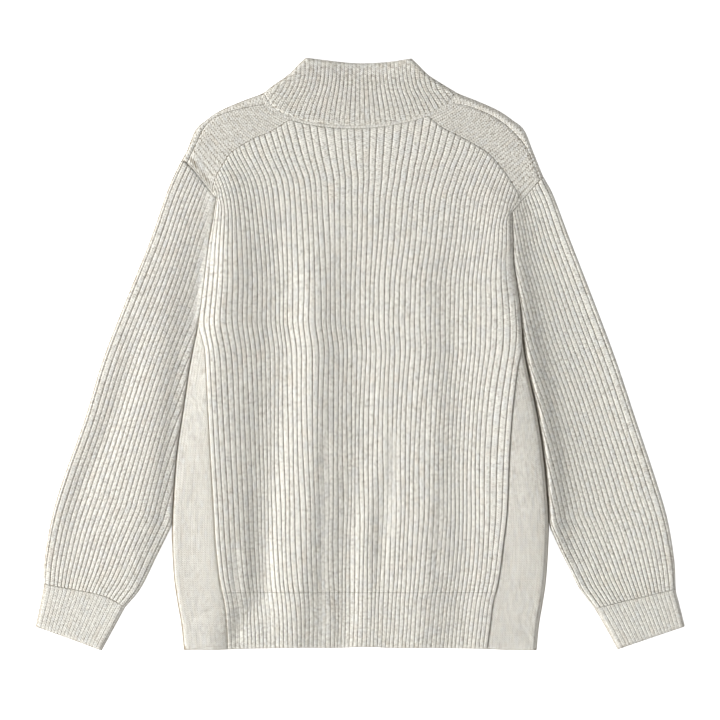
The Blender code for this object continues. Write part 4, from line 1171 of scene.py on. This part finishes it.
def front_side(side, up):
    """Outer side of a front: the side panel's seam, the armhole, then straight up."""
    low = side.seam[::-1]
    hole = side.armhole[-2::-1]
    heights = np.r_[low[:, 1], hole[:, 1]]
    outs = abs(np.r_[low[:, 0], hole[:, 0]])
    return np.interp(up, heights, outs)


PLACKET = 9.0  # plain strip beside the zip
PLACKET_FADE = 3.0  # past it the ribs gain their height
FRONT_PLAIN = 14.0  # plain strip below the top of a front
FRONT_GAIN = 10.0


def front(side):
    """Ribbed front with its zip edge; its plain shoulder turns over the fold to the back's seam."""
    tip = abs(side.armhole[0, 0])
    neck = smooth(FRONT_NECK_SEAM)[::-1]
    corner = (neck[-1, 0] - ZIP_EDGE) / (tip - ZIP_EDGE)
    share = np.sort(np.r_[rib_columns(FRONT_RIBS) / FRONT_RIBS, corner])
    split = int(np.searchsorted(share, corner))
    limit = np.vstack([neck, side.shoulder[1:] * (side.sign, 1)])

    def path(up):
        """How far out each column runs at a height."""
        return ZIP_EDGE + (front_side(side, up) - ZIP_EDGE) * share

    top = first_meeting(path, limit, share.size)
    top[-1] = side.armhole[0, 1]
    up = HEM_TOP + (top - HEM_TOP) * crowded(BACK_ROWS)[:, None]
    grid = np.stack([path(up) * side.sign, up], -1)
    grid[-1, -1] = side.armhole[0]
    shoulder = grid[-1, split:].copy()
    grid = inset(grid, "ES")
    grid[-1, split:] = shoulder
    from_zip, _ = gaps_along(grid, 1)
    _, below_top = gaps_along(grid, 0)
    ribs = share * FRONT_RIBS
    ribbed = fade(from_zip - PLACKET, PLACKET_FADE) * fade(below_top - FRONT_PLAIN, FRONT_GAIN)
    relief = pressed_relief(ribs, RIB, GROOVE / 2) * ribbed - edge_drop(grid, FRONT_SEAM, "ES")
    relief[-1, split:] = 0
    one_layer("rib_front", grid, -1, relief, marks_of(ribs, up / STITCH), side)
    shoulder_strip(side, shoulder)


STRIP_WIDTH = 0.0105  # of the strip's flat cut, in metres
STRIP_ROWS = 11


def shoulder_strip(side, fold_points):
    """The front's plain strip, from the shoulder fold to the shoulder seam."""
    run = lengths(fold_points)
    shares, few = run / run[-1], np.linspace(0, 1, STRIP_ROWS)
    west = stretch(side.neck_seam, 0, side.shoulder_shares[0], few)
    east = stretch(side.armhole, 0, side.shoulder_shares[1], few)
    west[0], east[0] = fold_points[0], fold_points[-1]
    grid = coons(fold_points, along(side.shoulder_seam, shares), west, east, shares, few)
    grid = inset(grid, "WEN")
    grid[0] = fold_points
    relief = PLAIN_RISE - edge_drop(grid, PLAIN_SEAM, "WEN")
    past, _ = gaps_along(grid, 0)
    marks = marks_of(run / STRIP_STITCH, past / STRIP_STITCH)
    one_layer("shoulder_strip", grid, 1, relief, marks, side, flat=(run[-1] * MM, STRIP_WIDTH))


def front_hem(side):
    """Finer rib band along the bottom of a front, from the zip edge to the side panel."""
    ribs = rib_columns(FRONT_RIBS)

    def path(up):
        """How far out each rib runs at a height."""
        return ZIP_EDGE + (side.out_at(side.seam, up) - ZIP_EDGE) * ribs / FRONT_RIBS

    grid = inset(hem_band(path, ribs) * (side.sign, 1), "EN")
    from_zip, _ = gaps_along(grid, 1)
    relief = pressed_relief(ribs, FINE_RIB, FINE_GROOVE) * fade(from_zip - PLACKET, PLACKET_FADE)
    relief = relief - edge_drop(grid, FRONT_HEM_EDGE, "ESN")
    one_layer("front_hem_band", grid, -1, relief, marks_of(ribs, grid[..., 1] / STITCH), side)


# ---------------------------------------------------------------- sleeves

SLEEVE_ROWS = 131
CUFF_ROWS = 21
# Of a sleeve's ribs: how many start at the armhole, and how much closer they lie at the inner edge
SleeveRibs = namedtuple("SleeveRibs", "at_armhole closer")
SLEEVE_STARTS = {"left": SleeveRibs(12, 0.0), "right": SleeveRibs(15, 0.35)}


def sleeve_plan(side):
    """Plan of a sleeve's points, and its ribs.

    A Coons patch between armhole, cuff, outer fold and inner edge. The ribs past the underarm
    start one after another along the inner edge, down to where it leaves the body.
    """
    edge, fold, line = side.sleeve_inner, side.sleeve_fold, side.cuff_line
    hole = side.armhole.copy()
    hole[-1] = edge[0]
    leaves = share_at(edge, np.array(INNER[side.name][0]) * (side.sign, 1))
    first, closer = SLEEVE_STARTS[side.name]
    ribs = rib_columns(SLEEVE_RIBS)
    start = leaves * np.clip((ribs - first) / (SLEEVE_RIBS - first), 0, 1)
    down = start + (1 - start) * crowded(SLEEVE_ROWS, ends=0.5)[:, None]
    count = first + (SLEEVE_RIBS - first) * np.minimum(down / leaves, 1)
    share = np.minimum(ribs / count, 1)
    across = share * (1 + closer * (1 - down) * (1 - share))
    corners = hole[0], hole[-1], line[0], line[-1]
    sides = along(hole, across), along(line, across), along(fold, down), along(edge, down)
    return patch(across, down, sides, corners), ribs, first * len(RIB_COLUMNS)


def sleeve(side):
    """Ribbed sleeve as a flattened tube, from the armhole to the cuff."""
    grid, ribs, underarm = sleeve_plan(side)
    open_edge = inset(grid[:, :underarm], "S")
    grid = inset(grid, "N")
    grid[0, :underarm] = open_edge[0]
    _, left = gaps_along(grid, 0)
    drop = edge_drop(grid, CUFF_SEAM, "N")
    drop[:, : underarm + 1] += edge_drop(grid[:, : underarm + 1], DEEP_SEAM, "S")
    calm = calmed(grid)
    upper = rib_relief(ribs, RIB, GROOVE) * (1 - calm)
    lower = pressed_relief(ribs, RIB, GROOVE / 2)
    shell = Shell()
    for layer, relief, smoothed in ((1, upper, calm), (-1, lower, 0)):
        outer, inner = lay(grid, side.sleeve_folds, layer, relief - drop)
        marks = marks_of(ribs, -left / STITCH, smoothed)
        for part, rims in ((np.s_[:, : underarm + 1], "SN"), (np.s_[:, underarm:], "N")):
            shell.wall(outer[part], inner[part], marks[part], rims)
    knitted(shell, "rib_sleeve", grid, side, turns=2)


def cuff(side):
    """Finer rib cuff: a flattened tube, open at both ends."""
    ribs = rib_columns(CUFF_RIBS)
    share, few = ribs / CUFF_RIBS, crowded(CUFF_ROWS, ends=0.5)
    line = along(side.cuff_line, share)
    ends = along(np.array([side.cuff_fold[-1], side.cuff_inner[-1]]), share)
    grid = coons(line, ends, along(side.cuff_fold, few), along(side.cuff_inner, few), share, few)
    grid = inset(grid, "S")
    drop = edge_drop(grid, CUFF_SEAM, "S") + edge_drop(grid, OPEN_END, "N")
    run, _ = gaps_along(grid, 0)
    marks = marks_of(ribs, run / STITCH)
    shell = Shell()
    for layer, relief in ((1, rib_relief), (-1, pressed_relief)):
        raised = relief(ribs, CUFF_RIB, 0) - drop
        shell.wall(*lay(grid, side.sleeve_folds, layer, raised), marks, "SN")
    knitted(shell, "rib_cuff", grid, side, turns=2)


# ---------------------------------------------------------------- collar

COLLAR_COLUMNS = 401
FRONT_COLLAR_COLUMNS = 161
COLLAR_ROWS = 61
COLLAR_CALM, CALM_DEPTH = 0.6, 26.0  # share by which its grooves fade at the top, and over what
COLLAR_PLAIN, COLLAR_GAIN = 2.5, 4.0  # plain strip above the neck seam, and where the ribs are full


def collar_pitch(up):
    """Width of a collar rib at a height: narrower at the top."""
    table = smooth(COLLAR_PITCH)
    return np.interp(up, table[:, 0], table[:, 1])


def collar():
    """Funnel neck: one band from the zip, round both folds and across the back.

    Its ribs fan out from narrow at the top to wide at the neck seam, so the folds cut them.
    """
    few = crowded(COLLAR_ROWS, ends=0.5)
    share = np.linspace(0, 1, COLLAR_COLUMNS)
    west, east = along(LEFT.collar_edge, few), along(RIGHT.collar_edge, few)
    south, north = along(LEFT.neck_seam, share), along(smooth(COLLAR_TOP), share)
    back = inset(coons(south, north, west, east, share, few), "S")
    fanned = back[..., 0] * (1 - COLLAR_FAN * (back[..., 0] / COLLAR_HALF) ** FAN_POWER)
    ribs = fanned / collar_pitch(back[..., 1])
    from_seam, from_top = gaps_along(back, 0)
    calm = COLLAR_CALM * (1 - fade(from_top, CALM_DEPTH))
    full = fade(from_seam - COLLAR_PLAIN, COLLAR_GAIN)
    relief = rib_relief(ribs, FINE_RIB, FINE_GROOVE) * full * (1 - calm)
    relief = relief - edge_drop(back, DEEP_SEAM, "S") - edge_drop(back, OPEN_END, "N")
    marks = marks_of(ribs, -from_top / STITCH, calm)
    shell = Shell()
    shell.wall(*lay(back, BODY_FOLDS, 1, relief), marks, "SN")
    area = area_of(back)
    for side, edge, column in ((LEFT, west, 0), (RIGHT, east, -1)):
        area += front_collar(side, edge, back[:, column], ribs[:, column], shell)
    knitted(shell, "funnel_collar", back, turns=area / area_of(back))


def front_collar(side, edge, fold_line, fold_ribs, shell):
    """The collar's front half on one side, from the fold to the zip; returns its area."""
    few = crowded(COLLAR_ROWS, ends=0.5)
    share = np.linspace(0, 1, FRONT_COLLAR_COLUMNS)
    top = sided(FRONT_COLLAR_EDGE, side.sign)
    top[0] = edge[-1]
    neck = sided(FRONT_NECK_SEAM, side.sign)
    zip_edge = neck[-1] + (top[-1] - neck[-1]) * few[:, None]
    plan = coons(along(neck, share), along(top, share), edge, zip_edge, share, few)
    plan = inset(plan, "S")
    plan[:, 0] = fold_line
    from_fold, from_zip = gaps_along(plan, 1)
    _, from_top = gaps_along(plan, 0)
    ribs = fold_ribs[:, None] + side.sign * from_fold / collar_pitch(plan[..., 1])
    relief = pressed_relief(ribs, FINE_RIB, FINE_GROOVE) * fade(from_zip - PLACKET, PLACKET_FADE)
    relief = relief - edge_drop(plan, FRONT_SEAM, "SN")
    marks = marks_of(ribs, -from_top / STITCH)
    shell.wall(*lay(plan, BODY_FOLDS, -1, relief), marks, "SNE")
    return area_of(plan)


# ---------------------------------------------------------------- seams


ROPE_STEP, ROPE_COLUMNS = 0.55, 13  # run between its rows of points, and points to a row
LINK_SLANT = 0.55  # of a link's length, outwards on each half
LINK_SHARE = 0.28  # of the rope's height, by which its links stand out
CLEFT, CLEFT_WIDTH = 0.3, 0.15  # shares of its height and half width that a dip down its middle takes
ROPE_SIDES, ROPE_UNDER = 0.3, 0.9  # its sides and its underside lie this far below the cloth
ROPE_END = 2.0  # its ends rise over half of this
Rope = namedtuple("Rope", "width height stitch")
NECK_ROPE, ARMHOLE_ROPE = Rope(4.6, 0.4, 3.6), Rope(2.4, 0.8, 2.4)
NECK_ROPE_UP = 1.2  # above the neck seam
NECK_ROPE_FREE = 6  # points of the neck seam that it leaves free at each end
ARMHOLE_ROPE_IN = 1.7  # inward of the armhole's
WELT_FROM, WELT_TO = 0.02, 0.97  # shares of the armhole: past the shoulder seam, and its end
WELT_POINTS = 60


def seam_rope(name, plan, folds, rope):
    """A raised linked seam: a half-ellipse carried along a plan line, with two slanted rows of links.

    Its height is a half ellipse across, times one less a sine of the run along it, slanted outwards
    on each half so that the links form a chain of chevrons, and times one less a dip in its middle.
    """
    run = lengths(plan)
    count = int(run[-1] / ROPE_STEP) + 1
    line = along(plan, np.linspace(0, 1, count))
    across = np.linspace(-1, 1, ROPE_COLUMNS)
    grid = line[:, None] + normals(line)[:, None] * across[:, None] * rope.width / 2
    outer, _ = lay(grid, folds, 1)
    distance = np.linspace(0, run[-1], count)[:, None]
    link = 0.5 + 0.5 * np.sin(2 * np.pi * (distance / rope.stitch - LINK_SLANT * abs(across)))
    cleft = 1 - CLEFT * np.exp(-((across / CLEFT_WIDTH) ** 2))
    rise = rope.height * np.sqrt(1 - across**2) * (1 - LINK_SHARE + LINK_SHARE * link) * cleft
    ends = np.sin(np.pi * np.clip(np.minimum(distance, run[-1] - distance) / ROPE_END, 0, 0.5))
    top = outer.copy()
    top[..., 2] += rise * ends
    top[:, [0, -1], 2] = outer[:, [0, -1], 2] - ROPE_SIDES
    low = outer - (0, 0, ROPE_UNDER)
    marks = marks_of((across + 1) / 2, distance / rope.stitch)
    shell = Shell()
    tops, lows = shell.add(top, marks), shell.add(low, marks)
    up = np.broadcast_to([0, 0, 1.0], top[:-1, :-1].shape)
    shell.cells(tops, up)
    shell.cells(lows, -up)
    shell.close(tops, lows, top, "SNWE")
    piece = shell.build(name, MATERIALS["seam"])
    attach(piece, "garment")


def seams():
    """The linked neck seam, and the welts along the armholes."""
    neck = LEFT.neck_seam[NECK_ROPE_FREE:-NECK_ROPE_FREE] + (0, NECK_ROPE_UP)
    seam_rope("neck_seam", neck, BODY_FOLDS, NECK_ROPE)
    for side in (LEFT, RIGHT):
        start = side.shoulder_shares[1] + WELT_FROM
        line = stretch(side.armhole, start, WELT_TO, np.linspace(0, 1, WELT_POINTS))
        line = outward(line, -ARMHOLE_ROPE_IN, side.sign)
        seam_rope(f"armhole_welt_{side.name}", line, side.body_folds, ARMHOLE_ROPE)


# ---------------------------------------------------------------- zip

TOOTH_PITCH = 3.0
TOOTH_LOW, TOOTH_HIGH = 3.2, 4.4
TEETH_FROM, TEETH_TO = -342.6, 295.0
TOOTH_BEVEL, TOOTH_FACE = 0.2, 0.82  # height of its bevels, and how large its faces are
TOOTH_HALF = [(2.6, 0.7), (0.6, 0.5), (-0.2, 0.85), (-0.9, 0.5)]  # from the tape to its head
STITCH_LENGTH, STITCH_APART, STITCH_RADIUS = 2.6, 3.4, 0.32  # of the lock stitches
STITCH_OUT, STITCH_UP = 5.0, 1.45  # from the zip edge, and above the surface it rests on
STITCH_SIDES = 6
STITCH_RINGS = [(-0.5, 0.35), (-0.3, 1), (0.3, 1), (0.5, 0.35)]  # shares of its length and radius
STITCHED_FROM, STITCHED_TO = 12.0, 6.0  # from the hem's bottom edge, and from the collar's top


def ring_faces(levels, sides):
    """Triangles of a solid of stacked rings of points: bands between them, and a fan on each end."""
    ring = np.arange(sides)
    level = np.arange(levels - 1)[:, None] * sides
    a, b = level + ring, level + (ring + 1) % sides
    bands = np.stack([a, b, b + sides, a + sides], -1).reshape(-1, 4)
    fan = ring[1:-1]
    low = np.stack([0 * fan, fan + 1, fan], -1)
    high = np.stack([0 * fan, fan, fan + 1], -1) + (levels - 1) * sides
    return np.concatenate([bands[:, [0, 1, 2]], bands[:, [0, 2, 3]], low, high])


def zip_row(kind, side, rings, ups, material):
    """A small solid of rings repeated up one side of the zip, mirrored on the left."""
    levels, sides, _ = rings.shape
    places = np.stack([0 * ups, ups, 0 * ups], -1)
    points = rings.reshape(-1, 3) * (side.sign, 1, 1) + places[:, None]
    faces = ring_faces(levels, sides)[:, :: side.sign]
    numbered = faces + (np.arange(len(ups)) * levels * sides)[:, None, None]
    name = f"{kind}_{side.name}"
    piece = mesh_object(name, points.reshape(-1, 3), numbered.reshape(-1, 3), material)
    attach(piece, "garment")
    return piece


def zip_teeth():
    """Two rows of interlocking teeth: one outline repeated along the zip, each row half a pitch on.

    A tooth's outline in plan runs from the tape to its rounded head across the centre line, and it
    is a little smaller at its lower and upper face.
    """
    half = np.array(TOOTH_HALF)
    outline = np.vstack([half * (1, -1), half[::-1]])
    middle = outline.mean(0)
    low, high = TOOTH_LOW + TOOTH_BEVEL, TOOTH_HIGH - TOOTH_BEVEL
    levels = [(TOOTH_LOW, TOOTH_FACE), (low, 1), (high, 1), (TOOTH_HIGH, TOOTH_FACE)]
    rings = np.array([[(*(middle + (point - middle) * size), z) for point in outline] for z, size in levels])
    count = int((TEETH_TO - TEETH_FROM) / TOOTH_PITCH)
    for side in (LEFT, RIGHT):
        ups = TEETH_FROM + TOOTH_PITCH * (np.arange(count) + (0.5 if side is RIGHT else 0))
        piece = zip_row("zip_teeth", side, rings, ups, METAL)
        piece.data.polygons.foreach_set("use_smooth", np.zeros(len(piece.data.polygons), bool))


def zip_stitching():
    """Lock stitches beside the zip on each front: small rounded bars in a row along the edge."""
    turns = -np.linspace(0, 2 * np.pi, STITCH_SIDES, endpoint=False)
    rings = []
    for share, size in STITCH_RINGS:
        x, z = STITCH_RADIUS * size * np.cos(turns), STITCH_RADIUS * size * np.sin(turns)
        rings.append(np.stack([x, np.full_like(x, share * STITCH_LENGTH), z], -1))
    rings = np.array(rings) + (ZIP_EDGE + STITCH_OUT, 0, STITCH_UP)
    ups = np.arange(HEM_MIDDLE + STITCHED_FROM, FRONT_COLLAR_TOP - STITCHED_TO, STITCH_APART)
    for side in (LEFT, RIGHT):
        zip_row("zip_stitching", side, rings, ups, THREAD)


def dress_zip():
    """Finishes the zip's own solids, and adds its teeth and stitching."""
    for node in ("zip_tape_left", "zip_tape_right"):
        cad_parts[node].data.materials[0] = THREAD
    for node in ("zip_box", "zip_slider", "zip_pull_tab"):
        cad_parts[node].data.materials[0] = METAL
    zip_teeth()
    zip_stitching()


# ---------------------------------------------------------------- light and camera

PICTURE = 720
PIXEL = 1.2  # millimetres of the cardigan to a pixel of the picture
CENTRE_PIXEL = (360.2, 354.0)  # the picture's pixel over the frame's origin
CAMERA_HEIGHT = 4.0  # metres
SENSOR = 36.0  # millimetres
FLOOR_HALF = 6000.0
FLOOR_GREY = 0.93
FLOOR_GLOW = 0.8  # lifts the floor's soft shadow to white for the camera
FLOOR_LIGHT = 0.15  # and the part of it that lights the cloth
FLOOR_GAP = 0.3  # keeps the floor's face apart from the cloth's underside
SURROUND = 0.455  # strength of the even light from all round
KEY = 582  # watts
KEY_DISTANCE, KEY_SIZE = 6.0, 3.6  # metres
KEY_AZIMUTH = 192  # degrees from +X: from the left, a little below
KEY_ELEVATION = 20


def camera():
    """Camera straight above, with a long lens."""
    lens = bpy.data.cameras.new("camera")
    lens.sensor_width = SENSOR
    lens.lens = SENSOR * CAMERA_HEIGHT / (PICTURE * PIXEL * MM)
    seen = bpy.data.objects.new("camera", lens)
    middle = (PICTURE / 2 - CENTRE_PIXEL[0], CENTRE_PIXEL[1] - PICTURE / 2)
    seen.location = (middle[0] * PIXEL * MM, middle[1] * PIXEL * MM, CAMERA_HEIGHT + STACK * MM)
    bpy.context.scene.collection.objects.link(seen)
    bpy.context.scene.camera = seen


def softbox(name, azimuth, elevation, distance, size, power):
    """A square soft light that faces the origin, from a direction in degrees."""
    light = bpy.data.lights.new(name, "AREA")
    light.size = size
    light.energy = power
    made = bpy.data.objects.new(name, light)
    around, rise = np.radians(azimuth), np.radians(elevation)
    level = np.cos(rise)
    place = Vector((level * np.cos(around), level * np.sin(around), np.sin(rise))) * distance
    made.location = place
    made.rotation_euler = (-place).to_track_quat("-Z", "Y").to_euler()
    bpy.context.scene.collection.objects.link(made)


def studio():
    """White floor, clear from below, a soft key from the left and an even white surround."""
    bpy.context.scene.view_settings.view_transform = "Standard"
    points = np.array([(-1, -1, 0), (1, -1, 0), (1, 1, 0), (-1, 1, 0)], float) * FLOOR_HALF
    points[:, 2] = -FLOOR_GAP
    graph = Graph("floor")
    graph.set(Base_Color=(FLOOR_GREY, FLOOR_GREY, FLOOR_GREY, 1), Roughness=0.9)
    seen = graph.node("ShaderNodeLightPath").outputs["Is Camera Ray"]
    glow = graph.math("MULTIPLY_ADD", seen, FLOOR_GLOW - FLOOR_LIGHT, FLOOR_LIGHT)
    behind = graph.node("ShaderNodeNewGeometry").outputs["Backfacing"]
    graph.set(Emission_Color=(1, 1, 1, 1), Emission_Strength=glow)
    graph.set(Alpha=graph.math("SUBTRACT", 1.0, behind))
    floor = mesh_object("floor", points, np.array([[0, 1, 2, 3]]), graph.material)
    world = bpy.data.worlds.new("surround")
    world.use_nodes = True
    world.node_tree.nodes["Background"].inputs["Color"].default_value = (1, 1, 1, 1)
    world.node_tree.nodes["Background"].inputs["Strength"].default_value = SURROUND
    bpy.context.scene.world = world
    softbox("key", KEY_AZIMUTH, KEY_ELEVATION, KEY_DISTANCE, KEY_SIZE, KEY)


# ---------------------------------------------------------------- the whole

METAL = metal_material()
THREAD = tape_material()


def main():
    """Makes the pieces from the back to the zip, then the camera and the studio."""
    back_panel()
    back_hem()
    collar()
    for side in (LEFT, RIGHT):
        yoke(side)
        side_panel(side)
        front(side)
        front_hem(side)
        sleeve(side)
        cuff(side)
    seams()
    dress_zip()
    camera()
    studio()


main()
